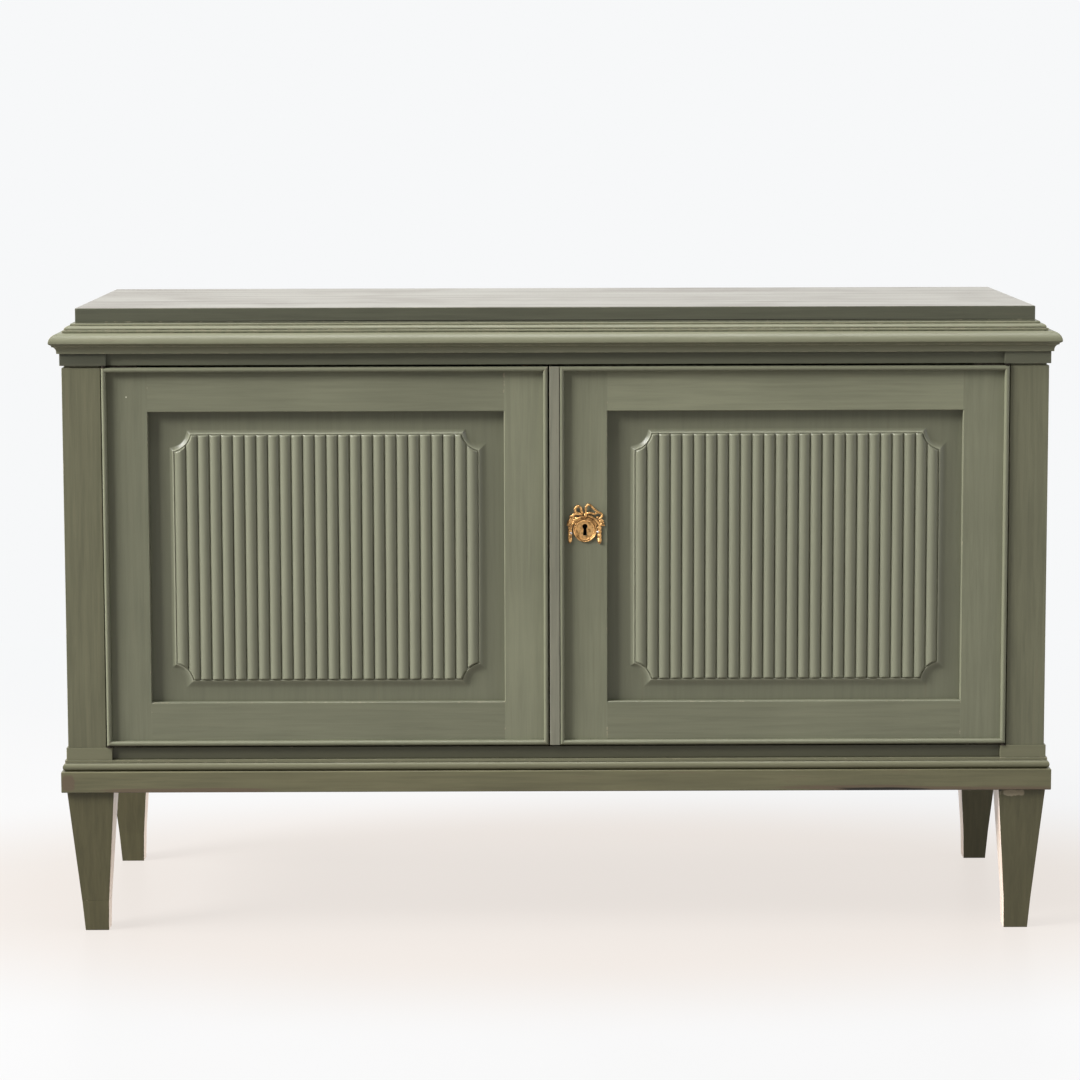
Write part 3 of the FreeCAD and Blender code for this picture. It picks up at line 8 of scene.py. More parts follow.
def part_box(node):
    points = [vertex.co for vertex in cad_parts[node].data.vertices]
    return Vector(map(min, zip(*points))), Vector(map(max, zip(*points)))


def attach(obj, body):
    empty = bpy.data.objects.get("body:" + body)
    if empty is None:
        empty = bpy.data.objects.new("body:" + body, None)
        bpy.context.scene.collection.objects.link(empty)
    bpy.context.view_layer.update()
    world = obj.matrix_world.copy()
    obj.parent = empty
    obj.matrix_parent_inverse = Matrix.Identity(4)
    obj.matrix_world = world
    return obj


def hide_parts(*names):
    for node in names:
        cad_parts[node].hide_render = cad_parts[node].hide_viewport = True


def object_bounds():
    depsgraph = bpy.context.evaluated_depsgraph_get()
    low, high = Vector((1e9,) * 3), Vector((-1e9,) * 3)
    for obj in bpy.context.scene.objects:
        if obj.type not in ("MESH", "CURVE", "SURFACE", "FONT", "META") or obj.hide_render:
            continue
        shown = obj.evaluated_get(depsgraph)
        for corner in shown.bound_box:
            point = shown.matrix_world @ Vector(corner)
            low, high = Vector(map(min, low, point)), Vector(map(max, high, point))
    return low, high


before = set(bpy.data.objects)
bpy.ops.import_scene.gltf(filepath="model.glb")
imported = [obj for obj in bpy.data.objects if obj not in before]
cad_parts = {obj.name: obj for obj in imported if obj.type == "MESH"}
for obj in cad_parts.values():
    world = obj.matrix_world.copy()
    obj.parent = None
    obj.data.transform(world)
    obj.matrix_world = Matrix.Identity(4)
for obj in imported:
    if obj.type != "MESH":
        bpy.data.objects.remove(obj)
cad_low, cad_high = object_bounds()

# A painted sideboard with two reeded doors, dressed for the camera.
# X runs to the right, Y to the back and Z up, in metres, as in the frame.

MM = 0.001
RANDOM = np.random.default_rng(7)


# Places read from the frame

def lowest(node):
    """A node's lowest corner as an array."""
    return np.array(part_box(node)[0])


def highest(node):
    """A node's highest corner as an array."""
    return np.array(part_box(node)[1])


POST_LOW = lowest("post_front_left")
CASE_HALF = -POST_LOW[0]
FACE_Y = POST_LOW[1]
DOOR_FACE_Y = lowest("left_door_top_rail")[1]
BACK_Y = highest("post_rear_left")[1]
FRAME_CENTRE_Z = (cad_low[2] + cad_high[2]) / 2


# Surfaces

def grid_quads(rows, columns, first, wrap_rows, wrap_columns):
    """Four corners of each cell of a grid, with its last row or column joined to the first where it wraps."""
    down = np.arange(rows if wrap_rows else rows - 1)
    across = np.arange(columns if wrap_columns else columns - 1)
    here, right = np.meshgrid(down, across, indexing="ij")
    below = (here + 1) % rows
    beside = (right + 1) % columns
    corners = (here * columns + right, here * columns + beside,
               below * columns + beside, below * columns + right)
    return first + np.stack(corners, axis=-1).reshape(-1, 4)


class Shell:
    """Grids of points and flat caps that together close one or more solids."""

    def __init__(self):
        self.points = []
        self.faces = []
        self.count = 0

    def add_grid(self, points, wrap_rows=False, wrap_columns=False, cap_rows=False):
        """A surface over two parameters; cap_rows closes its first and last rows with flat faces."""
        rows, columns = points.shape[:2]
        quads = grid_quads(rows, columns, self.count, wrap_rows, wrap_columns)
        volume = signed_volume(points.reshape(-1, 3), quads - self.count)
        row = np.arange(columns)
        caps = [self.count + row[::-1], self.count + (rows - 1) * columns + row] if cap_rows else []
        caps = [cap.tolist() for cap in caps]
        if volume < 0:
            quads = quads[:, ::-1]
            caps = [cap[::-1] for cap in caps]
        self.points.append(points.reshape(-1, 3))
        self.faces += quads.tolist() + caps
        self.count += rows * columns

    def add_rod(self, rings):
        """A closed rod from rings of points, one after another."""
        self.add_grid(rings, wrap_columns=True, cap_rows=True)

    def make(self, name, smooth_angle=math.radians(35)):
        """Put the points and faces into one object at the origin."""
        mesh = bpy.data.meshes.new(name)
        mesh.from_pydata(np.concatenate(self.points).tolist(), [], self.faces)
        mesh.polygons.foreach_set("use_smooth", np.ones(len(mesh.polygons), dtype=bool))
        mesh.set_sharp_from_angle(angle=smooth_angle)
        mesh.update()
        piece = bpy.data.objects.new(name, mesh)
        bpy.context.scene.collection.objects.link(piece)
        return piece


def points_at(x, y, z):
    """Points from their three coordinates, where a plain number counts for all of them."""
    return np.stack(np.broadcast_arrays(x, y, z), axis=-1)


def between(start, end, share):
    """Values a share of the way from a start to an end."""
    return start * (1.0 - share) + end * share


def turns(count):
    """Angles once round in equal steps."""
    return np.linspace(0.0, 2 * math.pi, count, endpoint=False)


def signed_volume(points, quads):
    """Volume swept by a surface about its own middle: positive where its faces look outwards."""
    middle = points.mean(axis=0)
    a, b, c, d = (points[quads[:, corner]] - middle for corner in range(4))
    half_one = np.einsum("ij,ij->i", a, np.cross(b, c)).sum()
    half_two = np.einsum("ij,ij->i", a, np.cross(c, d)).sum()
    return (half_one + half_two) / 6


SLOW_WAVE = 9.0
QUICK_WAVE = 23.0
QUICK_WAVE_SHARE = 0.6
SWAY_REACH = 1.0 + QUICK_WAVE_SHARE
SWAY_FADE = 12.0


def span(start, end, steps, sway, sway_axis):
    """A section carried in a straight line: each point moves from its start to its end in equal steps.

    The section sways by the sum of two sines along the run, as planed wood does, and lies true at its ends.
    """
    share = np.linspace(0.0, 1.0, steps)[:, None, None]
    phase = RANDOM.uniform(0.0, 2.0 * math.pi, 2)
    wave = np.sin(share * SLOW_WAVE + phase[0]) + QUICK_WAVE_SHARE * np.sin(share * QUICK_WAVE + phase[1])
    fade = np.minimum(1.0, np.minimum(share, 1.0 - share) * SWAY_FADE)
    return between(start[None], end[None], share) + wave * fade * sway * np.array(sway_axis)


def quarter(ends, steps):
    """A quarter of an ellipse between two points of a profile: upright at the first and level at the last."""
    (first_out, first_up), (last_out, last_up) = ends
    turn = np.linspace(0.0, math.pi / 2, steps + 1)
    out = first_out + (last_out - first_out) * (1.0 - np.cos(turn))
    up = first_up + (last_up - first_up) * np.sin(turn)
    return list(zip(out.tolist(), up.tolist()))


WELD_REACH = 0.01 * MM
ARRIS_ANGLE = math.radians(40)


def ease_edges(piece, width):
    """Round a piece's sharp edges a little, as worn painted wood is."""
    weld = piece.modifiers.new("join", "WELD")
    weld.merge_threshold = WELD_REACH
    bevel = piece.modifiers.new("ease", "BEVEL")
    bevel.width = width
    bevel.segments = 2
    bevel.limit_method = "ANGLE"
    bevel.angle_limit = ARRIS_ANGLE
    bevel.use_clamp_overlap = True
    return piece


def dress(piece, material, body, slot, *nodes):
    """Give a new piece its finish, its body and the nodes that it stands for."""
    piece.data.materials.clear()
    piece.data.materials.append(material)
    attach(piece, body)
    if nodes:
        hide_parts(*nodes)


# Shader helpers

def srgb(red, green, blue):
    """A colour as seen on a screen, in eight-bit steps, turned into the linear values that a shader takes."""
    seen = np.array((red, green, blue)) / 255.0
    low = seen / 12.92
    high = ((seen + 0.055) / 1.055) ** 2.4
    return tuple(float(v) for v in np.where(seen <= 0.04045, low, high)) + (1.0,)


class Nodes:
    """A node tree with short ways to add and join nodes."""

    def __init__(self, tree):
        self.tree = tree

    def add(self, kind, inputs=None, **settings):
        """One node with its settings; an input is a value or another node's output."""
        node = self.tree.nodes.new(kind)
        for name, value in settings.items():
            setattr(node, name, value)
        self.set(node, inputs or {})
        return node

    def set(self, node, inputs):
        """Join an output to each named socket, or write a plain value into it."""
        for name, value in inputs.items():
            if isinstance(value, bpy.types.NodeSocket):
                self.tree.links.new(value, node.inputs[name])
            else:
                node.inputs[name].default_value = value

    def math(self, operation, first, second=0.0, clamp=False):
        """One sum, product or other operation on two values."""
        node = self.add("ShaderNodeMath", {0: first, 1: second}, operation=operation, use_clamp=clamp)
        return node.outputs[0]

    def plus(self, first, second, clamp=False):
        """The sum of two values."""
        return self.math("ADD", first, second, clamp)

    def minus(self, first, second, clamp=False):
        """The difference of two values."""
        return self.math("SUBTRACT", first, second, clamp)

    def times(self, first, second, clamp=False):
        """The product of two values."""
        return self.math("MULTIPLY", first, second, clamp)

    def centred(self, value, amount):
        """How far a value lies over or under one half, times an amount."""
        return self.times(self.minus(value, 0.5), amount)

    def remap(self, value, low, high, to_low=0.0, to_high=1.0):
        """Stretch a span of values smoothly onto another, held at its ends."""
        spans = {"Value": value, "From Min": low, "From Max": high, "To Min": to_low, "To Max": to_high}
        return self.add("ShaderNodeMapRange", spans, interpolation_type="SMOOTHSTEP").outputs["Result"]

    def noise(self, vector, scale, detail=3.0, roughness=0.55, distortion=0.0):
        """A noise value of about 0.5 that changes over the surface."""
        inputs = {"Vector": vector, "Scale": scale, "Detail": detail, "Roughness": roughness}
        return self.add("ShaderNodeTexNoise", {**inputs, "Distortion": distortion}).outputs["Fac"]

    def mix(self, share, first, second):
        """Blend two colours."""
        return self.add("ShaderNodeMix", {0: share, 6: first, 7: second}, data_type="RGBA").outputs[2]

    def stretch(self, vector, scale):
        """Coordinates stretched along the grain."""
        return self.add("ShaderNodeMapping", {"Vector": vector, "Scale": scale}).outputs["Vector"]

    def vector(self, operation, first, second=None):
        """The outputs of a node that works on vectors: Vector and Value."""
        inputs = {0: first} if second is None else {0: first, 1: second}
        return self.add("ShaderNodeVectorMath", inputs, operation=operation).outputs

    def bump(self, height, strength, distance):
        """A normal that leans as the height rises."""
        inputs = {"Height": height, "Strength": strength, "Distance": distance}
        return self.add("ShaderNodeBump", inputs).outputs["Normal"]

    def group(self, tree, inputs):
        """The outputs of a shared effect with this material's own values."""
        return self.add("ShaderNodeGroup", inputs, node_tree=tree).outputs


FLOAT = "NodeSocketFloat"
COLOUR = "NodeSocketColor"
VECTOR = "NodeSocketVector"
OUTPUT_KINDS = {"Color": COLOUR, "Normal": VECTOR}


def socket_kind(value):
    """The kind of socket that a value needs: a vector's may have no value of its own."""
    if isinstance(value, float):
        return FLOAT
    return COLOUR if value is not None and len(value) == 4 else VECTOR


def make_group(name, build, inputs):
    """A shader node group with named sockets, built once; its outputs are what build works out."""
    tree = bpy.data.node_groups.new(name, "ShaderNodeTree")
    for label, value in inputs.items():
        socket = tree.interface.new_socket(label, in_out="INPUT", socket_type=socket_kind(value))
        if value is not None:
            socket.default_value = value
    nodes = Nodes(tree)
    results = build(nodes, nodes.add("NodeGroupInput").outputs)
    for label in results:
        tree.interface.new_socket(label, in_out="OUTPUT", socket_type=OUTPUT_KINDS.get(label, FLOAT))
    nodes.add("NodeGroupOutput", results)
    return tree


BRUSH_DEPTH = 0.25 * MM
BRUSH_RELIEF = 0.5
BRISTLE_TONE = 0.1
BRISTLE_GLOSS = 0.25


def build_brushed_paint(nodes, given):
    """Thin brushed paint: slow patches, streaks along the grain and fine bristle lines."""
    patches = nodes.noise(given["Vector"], 5.0, 3.0)
    streaks = nodes.noise(given["Grain"], 150.0, 5.0, 0.65, 0.3)
    bristles = nodes.noise(given["Grain"], 480.0, 3.0, 0.6)
    flecks = nodes.noise(given["Vector"], 420.0, 2.0, 0.5)
    tone = nodes.plus(nodes.centred(patches, given["Patches"]), nodes.centred(streaks, given["Streaks"]))
    lightness = nodes.plus(nodes.plus(tone, nodes.centred(bristles, BRISTLE_TONE)), 1.0)
    colour = nodes.add("ShaderNodeHueSaturation", {"Color": given["Paint"], "Value": lightness, "Fac": 1.0})
    thin = nodes.times(nodes.remap(streaks, 0.60, 0.78), given["Thin Places"], clamp=True)
    height = nodes.plus(nodes.times(bristles, 0.6), nodes.times(streaks, 1.2))
    height = nodes.plus(height, nodes.times(flecks, 0.12))
    return {
        "Color": nodes.mix(thin, colour.outputs["Color"], given["Wood"]),
        "Roughness": nodes.plus(given["Roughness"], nodes.centred(bristles, BRISTLE_GLOSS)),
        "Normal": nodes.bump(height, BRUSH_RELIEF, BRUSH_DEPTH),
    }


BRUSHED_PAINT = make_group("brushed_paint", build_brushed_paint, {
    "Vector": None, "Grain": None, "Paint": (0.2, 0.2, 0.15, 1.0), "Wood": (0.2, 0.15, 0.1, 1.0),
    "Patches": 0.1, "Streaks": 0.2, "Thin Places": 0.0, "Roughness": 0.4,
})
WEAR_RADIUS = 1.2 * MM


def build_edge_wear(nodes, given):
    """Edges where the surface turns within a small radius, broken up by noise."""
    rounded = nodes.add("ShaderNodeBevel", {"Radius": WEAR_RADIUS}, samples=4)
    flat = nodes.add("ShaderNodeNewGeometry")
    turn = nodes.vector("DOT_PRODUCT", rounded.outputs["Normal"], flat.outputs["Normal"])["Value"]
    edge = nodes.remap(turn, 0.985, 0.90)
    broken = nodes.noise(given["Vector"], 90.0, 4.0, 0.65)
    broken = nodes.remap(broken, nodes.minus(0.78, given["Amount"]), nodes.minus(0.86, given["Amount"]))
    return {"Edge": edge, "Worn": nodes.times(edge, broken)}


EDGE_WEAR = make_group("edge_wear", build_edge_wear, {"Vector": None, "Amount": 0.3})


def build_grime_and_shade(nodes, given):
    """Darkening in quirks and corners, which is dark wax and soiling and also painted shade where little
    light reaches; and short dark cracks along the grain there.
    """
    shade = nodes.add("ShaderNodeAmbientOcclusion", {"Distance": given["Reach"]}, samples=6)
    uneven = nodes.remap(nodes.noise(given["Vector"], 35.0, 3.0), 0.25, 0.75, 0.7, 1.15)
    closed = nodes.times(nodes.minus(1.0, shade.outputs["AO"]), uneven)
    parts = nodes.remap(nodes.noise(given["Grain"], 95.0, 3.0, 0.6), 0.56, 0.66)
    return {
        "Mask": nodes.times(nodes.remap(closed, 0.30, 0.85), given["Amount"], clamp=True),
        "Cracks": nodes.times(nodes.remap(closed, 0.22, 0.5), parts),
    }


# The hollows' darkening serves both as soiling and as painted shade in recesses.
GRIME_AND_SHADE = make_group("grime", build_grime_and_shade, {"Vector": None, "Grain": None, "Reach": 0.004, "Amount": 0.8})
PATCH_SOFTNESS = 0.3


def build_patch(nodes, given):
    """A worn place: a box with round corners whose edge is torn by noise along the grain.

    The edge lies where the shares of the box's three half sizes, each to the fourth power, add up to 1.
    """
    offset = nodes.vector("SUBTRACT", given["Vector"], given["Centre"])["Vector"]
    scaled = nodes.vector("DIVIDE", offset, given["Size"])["Vector"]
    squared = nodes.vector("MULTIPLY", scaled, scaled)["Vector"]
    reach = nodes.vector("LENGTH", squared)["Value"]
    torn = nodes.centred(nodes.noise(given["Grain"], 110.0, 4.0, 0.65), given["Torn"])
    edge = nodes.plus(nodes.math("SQRT", reach), torn)
    return {"Mask": nodes.remap(edge, 1.0, 1.0 - PATCH_SOFTNESS)}


WORN_PATCH = make_group("worn_patch", build_patch, {
    "Vector": None, "Grain": None, "Centre": (0.0, 0.0, 0.0), "Size": (0.1, 0.1, 0.1), "Torn": 2.0,
})


def build_scrubbed_wood(nodes, given):
    """Pale bare wood: brownish streaks along the grain, slow stains and a few dark specks."""
    streaks = nodes.noise(given["Grain"], 62.0, 4.0, 0.62, 0.5)
    colour = nodes.mix(nodes.remap(streaks, 0.42, 0.68, 0.0, 0.8), given["Pale"], given["Line"])
    stains = nodes.noise(given["Vector"], 7.0, 3.0)
    colour = nodes.mix(nodes.remap(stains, 0.46, 0.7, 0.0, 0.4), colour, given["Line"])
    specks = nodes.remap(nodes.noise(given["Vector"], 210.0, 1.0, 0.4), 0.74, 0.77)
    return {"Color": nodes.mix(nodes.times(specks, 0.8), colour, given["Speck"])}


SCRUBBED_WOOD = make_group("scrubbed_wood", build_scrubbed_wood, {
    "Vector": None, "Grain": None, "Pale": (0.6, 0.6, 0.5, 1.0), "Line": (0.4, 0.3, 0.2, 1.0),
    "Speck": (0.05, 0.04, 0.03, 1.0),
})


# Colours of the finish, as seen under plain light
PAINT = srgb(110, 111, 92)
PAINT_GREY = srgb(115, 114, 100)
UNDERCOAT = srgb(96, 84, 68)
SCRAPED = srgb(158, 148, 126)
# Pale paint worn by hands, which also serves as a painted highlight on the panels' lips and reeds
RUBBED_AND_HIGHLIT = srgb(168, 169, 148)
# Dark soiling; it also paints shade in hollows and the shadow line under the top.
DIRT_AND_SHADE = srgb(30, 27, 20)
SPECK_PALE = srgb(206, 202, 184)
# Bare wood of the legs' inner faces, made paler than the wood with painted light from the bright floor and
# surround
LIT_BARE_WOOD = srgb(238, 222, 206)
LIT_BARE_WOOD_LINE = srgb(196, 160, 132)
TOP_PALE = srgb(142, 139, 128)
TOP_LINE = srgb(84, 72, 56)
OLD_PINE = srgb(150, 118, 84)
PINE_LINE = srgb(112, 82, 52)

GRAIN_SCALES = {
    "upright": (1.0, 1.0, 0.045),
    "level": (0.045, 1.0, 1.0),
    "deep": (1.0, 0.045, 1.0),
}


def new_material(name):
    """A material with its nodes, its shader and the places on its object."""
    material = bpy.data.materials.new(name)
    material.use_nodes = True
    nodes = Nodes(material.node_tree)
    place = nodes.add("ShaderNodeTexCoord").outputs["Object"]
    return material, nodes, material.node_tree.nodes["Principled BSDF"], place


def bare_side(nodes, places, colour, rough, kept_edge, bare_face):
    """Colour and roughness of a coat that leaves one side bare, but for a torn lap of paint at its edges."""
    direction, pale, line, bare_rough = bare_face
    normal = nodes.add("ShaderNodeNewGeometry").outputs["Normal"]
    bare = nodes.remap(nodes.vector("DOT_PRODUCT", normal, direction)["Value"], 0.80, 0.95)
    lap = nodes.remap(nodes.noise(places["Grain"], 120.0, 3.0), 0.45, 0.55)
    bare = nodes.minus(bare, nodes.times(kept_edge, lap), clamp=True)
    wood = nodes.group(SCRUBBED_WOOD, {**places, "Pale": pale, "Line": line, "Speck": DIRT_AND_SHADE})
    rough = nodes.plus(rough, nodes.times(bare, nodes.minus(bare_rough, rough)))
    return nodes.mix(bare, colour, wood["Color"]), rough


def painted(name, grain, tone=1.0, paint=PAINT, warm=0.0, roughness=0.42, streaks=0.22, thin=0.15,
            patches=0.14, wear=0.22, grime=0.85, reach=2.2 * MM, cracks=0.5, spots=(), bare_face=None,
            rubbed=0.0):
    """Sage paint brushed over old pine, with worn edges, soiling and painted shade in the quirks, and any
    worn places or painted shadows of its own.

    spots lists worn places and painted shadows as centre, size, colour and tear. bare_face gives the
    direction of an unpainted face, its colour, the colour of its streaks and its roughness. The last argument
    is how far the paint pales, worn by hands and also a painted highlight, where the piece's own attribute of
    the same name is 1.
    """
    material, nodes, shader, place = new_material(name)
    shader.inputs["Specular IOR Level"].default_value = 0.35
    places = {"Vector": place, "Grain": nodes.stretch(place, GRAIN_SCALES[grain])}
    warmth = np.array((1.0 + 0.5 * warm, 1.0, 1.0 - warm))
    base = tuple(np.clip(np.array(paint[:3]) * tone * warmth, 0.0, 1.0)) + (1.0,)
    coat = nodes.group(BRUSHED_PAINT, {
        **places, "Paint": base, "Wood": UNDERCOAT, "Patches": patches, "Streaks": streaks,
        "Thin Places": thin, "Roughness": roughness,
    })
    edges = nodes.group(EDGE_WEAR, {"Vector": place, "Amount": wear})
    colour = nodes.mix(edges["Worn"], coat["Color"], SCRAPED)
    # Paler paint where the piece's attribute says: worn by hands, and a painted highlight
    if rubbed:
        share = nodes.add("ShaderNodeAttribute", attribute_name="rubbed").outputs["Fac"]
        colour = nodes.mix(nodes.times(share, rubbed), colour, RUBBED_AND_HIGHLIT)
    for centre, extent, spot_colour, torn in spots:
        patch = nodes.group(WORN_PATCH, {**places, "Centre": centre, "Size": extent, "Torn": torn})
        colour = nodes.mix(patch["Mask"], colour, spot_colour)
    rough = coat["Roughness"]
    if bare_face is not None:
        colour, rough = bare_side(nodes, places, colour, rough, edges["Edge"], bare_face)
    # Ambient occlusion darkens quirks and corners: soiling there, and painted shade.
    hollows = nodes.group(GRIME_AND_SHADE, {**places, "Reach": reach, "Amount": grime})
    colour = nodes.mix(hollows["Mask"], colour, DIRT_AND_SHADE)
    colour = nodes.mix(nodes.times(hollows["Cracks"], cracks), colour, DIRT_AND_SHADE)
    nodes.set(shader, {"Base Color": colour, "Roughness": rough, "Normal": coat["Normal"]})
    return material


def bare_pine(name, grain):
    """Unpainted pine: growth lines along the board and a few darker flecks."""
    material, nodes, shader, place = new_material(name)
    rings = nodes.noise(nodes.stretch(place, GRAIN_SCALES[grain]), 60.0, 5.0, 0.6, 0.8)
    colour = nodes.mix(nodes.remap(rings, 0.35, 0.7), OLD_PINE, PINE_LINE)
    age = nodes.noise(place, 6.0, 3.0)
    colour = nodes.mix(nodes.remap(age, 0.4, 0.8, 0.0, 0.5), colour, UNDERCOAT)
    rough = nodes.remap(rings, 0.2, 0.8, 0.6, 0.8)
    nodes.set(shader, {"Base Color": colour, "Roughness": rough, "Normal": nodes.bump(rings, 0.4, 0.3 * MM)})
    return material


def metal(name, bright, dull, roughness, dull_share, reach=2.5 * MM):
    """Cast or wrought metal with tarnish in its hollows, which reaches as far as a hollow is deep."""
    material, nodes, shader, place = new_material(name)
    cloud = nodes.noise(place, 220.0, 4.0, 0.6)
    hollows = nodes.group(GRIME_AND_SHADE, {"Vector": place, "Grain": place, "Reach": reach, "Amount": 1.0})
    tarnish = nodes.plus(nodes.remap(cloud, 0.42, 0.70, 0.0, dull_share), hollows["Mask"], clamp=True)
    nodes.set(shader, {
        "Base Color": nodes.mix(tarnish, bright, dull), "Metallic": 1.0,
        "Roughness": nodes.remap(cloud, 0.3, 0.8, roughness, roughness + 0.25),
        "Normal": nodes.bump(cloud, 0.5, 0.15 * MM),
    })
    return material


# Mouldings

# Outward shares of the cornice's reach and upward shares of its rise, from the underside up
CORNICE_BACK_SHARES = [(-1.085, 0.607), (0.0, 0.607), (0.0, 0.0)]
COVE_SHARES = ((0.376, 0.044), (0.745, 0.238))
NOSE_SHARES = [(0.76, 0.285), (0.95, 0.328)]
OVOLO_SHARES = ((1.0, 0.352), (0.19, 0.683))
FILLET_SHARES = [
    (-0.02, 0.683), (-0.12, 0.698), (-0.05, 0.713), (-0.06, 0.776), (-0.15, 0.779), (-0.27, 0.793),
]
SMALL_OVOLO_SHARES = ((-0.21, 0.806), (-0.606, 0.926))
CORNICE_TOP_SHARES = [(-0.72, 0.926), (-0.685, 0.943), (-0.697, 0.985), (-0.72, 1.0), (-1.085, 1.0)]


def cornice_section():
    """The cornice's profile, in outward and upward distances, as a closed loop.

    Quarter ellipses make the cove and both ovolos, with sunk quirks between them.
    """
    reach = highest("cornice_right")[0] - CASE_HALF
    low = lowest("cornice_front")[2]
    rise = highest("cornice_front")[2] - low
    points = CORNICE_BACK_SHARES + [(COVE_SHARES[0][0], 0.0)]
    points += quarter(COVE_SHARES, 6) + NOSE_SHARES
    points += quarter(OVOLO_SHARES, 12) + FILLET_SHARES
    points += quarter(SMALL_OVOLO_SHARES, 6) + CORNICE_TOP_SHARES
    loop = np.array(points)
    return loop[:, 0] * reach, low + loop[:, 1] * rise


TORUS_RADIUS = 6.0 * MM
FILLET_REACH = 4.5 * MM


def base_section():
    """The half round and the fillet above it, as a closed loop."""
    low = lowest("base_moulding_front")[2]
    high = highest("base_moulding_front")[2]
    reach = highest("base_moulding_right")[0] - CASE_HALF
    back = highest("base_moulding_front")[1] - FACE_Y
    turn = np.linspace(-math.pi / 2, math.pi / 2, 13)
    out = reach - TORUS_RADIUS + TORUS_RADIUS * np.cos(turn)
    up = low + TORUS_RADIUS + TORUS_RADIUS * np.sin(turn)
    return (np.concatenate(([-back], out, [FILLET_REACH, FILLET_REACH, -back])),
            np.concatenate(([low], up, [low + 2 * TORUS_RADIUS, high, high])))


# Widths, steps and how far the mouldings and beads sway
MOULDING_STEPS = 70
MOULDING_EASE = 0.35 * MM
MOULDING_SWAY = 0.15 * MM
DOOR_BEAD_SWAY = 0.12 * MM
SIDE_BEAD_SWAY = 0.1 * MM
SIDE_BEAD_HEIGHT = 9.0 * MM
MITRE_GAP = 0.1 * MM
BEAD_WIDTH = 6.6 * MM


def wrap(label, section, front_paint, side_paint):
    """A moulding in three mitred lengths round the front and both sides, set in by as much as it may sway."""
    out, up = section
    out = out - SWAY_REACH * MOULDING_SWAY
    ends = {
        "left_back": points_at(-CASE_HALF - out, BACK_Y, up),
        "left_front": points_at(-CASE_HALF - out, FACE_Y - out, up),
        "right_front": points_at(CASE_HALF + out, FACE_Y - out, up),
        "right_back": points_at(CASE_HALF + out, BACK_Y, up),
    }
    for where, start, end, axis, material in (
        ("front", "left_front", "right_front", (0.0, 1.0, 0.3), front_paint),
        ("left", "left_back", "left_front", (1.0, 0.0, 0.3), side_paint),
        ("right", "right_front", "right_back", (1.0, 0.0, 0.3), side_paint),
    ):
        shell = Shell()
        shell.add_rod(span(ends[start], ends[end], MOULDING_STEPS, MOULDING_SWAY, axis))
        piece = ease_edges(shell.make("%s_%s_moulded" % (label, where)), MOULDING_EASE)
        dress(piece, material, "carcass", "painted_wood", "%s_%s" % (label, where))


def bead_section(proud):
    """A cock bead's profile: straight sides and a round nose, in across and forward distances."""
    radius = BEAD_WIDTH / 2
    turn = np.linspace(0.0, math.pi, 11)
    across = radius - radius * np.cos(turn)
    forward = proud - radius + radius * np.sin(turn)
    return np.concatenate(([0.0], across, [BEAD_WIDTH])), np.concatenate(([0.0], forward, [0.0]))


def door_beads(side, material):
    """Four lengths of bead mitred round a door, each a hair short of its neighbour at the mitre.

    A length runs along axis 0 or 2, and its section grows inwards along the other one.
    """
    node = side + "_door_beads"
    low, high = lowest(node), highest(node)
    across, forward = bead_section(DOOR_FACE_Y - low[1])
    shell = Shell()
    for fixed, axis, inward in ((low[2], 0, 1.0), (high[2], 0, -1.0), (low[0], 2, 1.0), (high[0], 2, -1.0)):
        start = np.zeros((len(across), 3))
        start[:, 1] = DOOR_FACE_Y - forward
        start[:, 2 - axis] = fixed + inward * across
        end = start.copy()
        start[:, axis] = low[axis] + across + MITRE_GAP
        end[:, axis] = high[axis] - across - MITRE_GAP
        sway_axis = (0.3, 1.0, 0.0) if axis == 2 else (0.0, 1.0, 0.3)
        shell.add_rod(span(start, end, 40, DOOR_BEAD_SWAY, sway_axis))
    dress(shell.make(node + "_rounded"), material, side + "_door", "painted_wood", node)


def side_beads(material):
    """The flattened half rounds along both sides of the case."""
    node = "side_beads"
    near_end, far_end = lowest(node), highest(node)
    reach = far_end[0] - CASE_HALF
    turn = np.linspace(0.0, math.pi, 13)
    out = reach * np.sin(turn)
    up = SIDE_BEAD_HEIGHT / 2 * (1.0 - np.cos(turn))
    shell = Shell()
    for hand in (-1.0, 1.0):
        for low in (near_end[2], far_end[2] - SIDE_BEAD_HEIGHT):
            start = points_at(hand * (CASE_HALF + out), near_end[1], low + up)
            end = start.copy()
            end[:, 1] = far_end[1]
            shell.add_rod(span(start, end, 20, SIDE_BEAD_SWAY, (1.0, 0.0, 0.0)))
    dress(shell.make("side_beads_rounded"), material, "carcass", "painted_wood", node)


# Reeded panels

REED_COUNT = 26
# The field inside the lip: half sizes, shift from the panel's middle, and radius bitten from its corners
FIELD_HALF = np.array((218.0, 179.0)) * MM
FIELD_SHIFT = {"left": np.array((-0.4, -1.0)) * MM, "right": np.array((3.2, -1.0)) * MM}
CORNER_BITE = 24.0 * MM
# The lip's start, height and hollowness: steep along the top and left, soft along the bottom and right
STEEP_LIP = (-0.2 * MM, 4.1 * MM, 1.3)
SOFT_LIP = (-5.5 * MM, 3.9 * MM, 1.6)
LIP_CREST = 5.6 * MM
LIP_FOOT = 2.9 * MM
LIP_TURN = 30.0 * MM
BORDER = 7.0 * MM
REED_GAP = 0.35 * MM
REED_FLOOR = 3.2 * MM
REED_RISE = 3.9 * MM
REED_END = 2.4 * MM
REED_LEAST_SHARE = 0.93
REED_DRIFT = 0.02
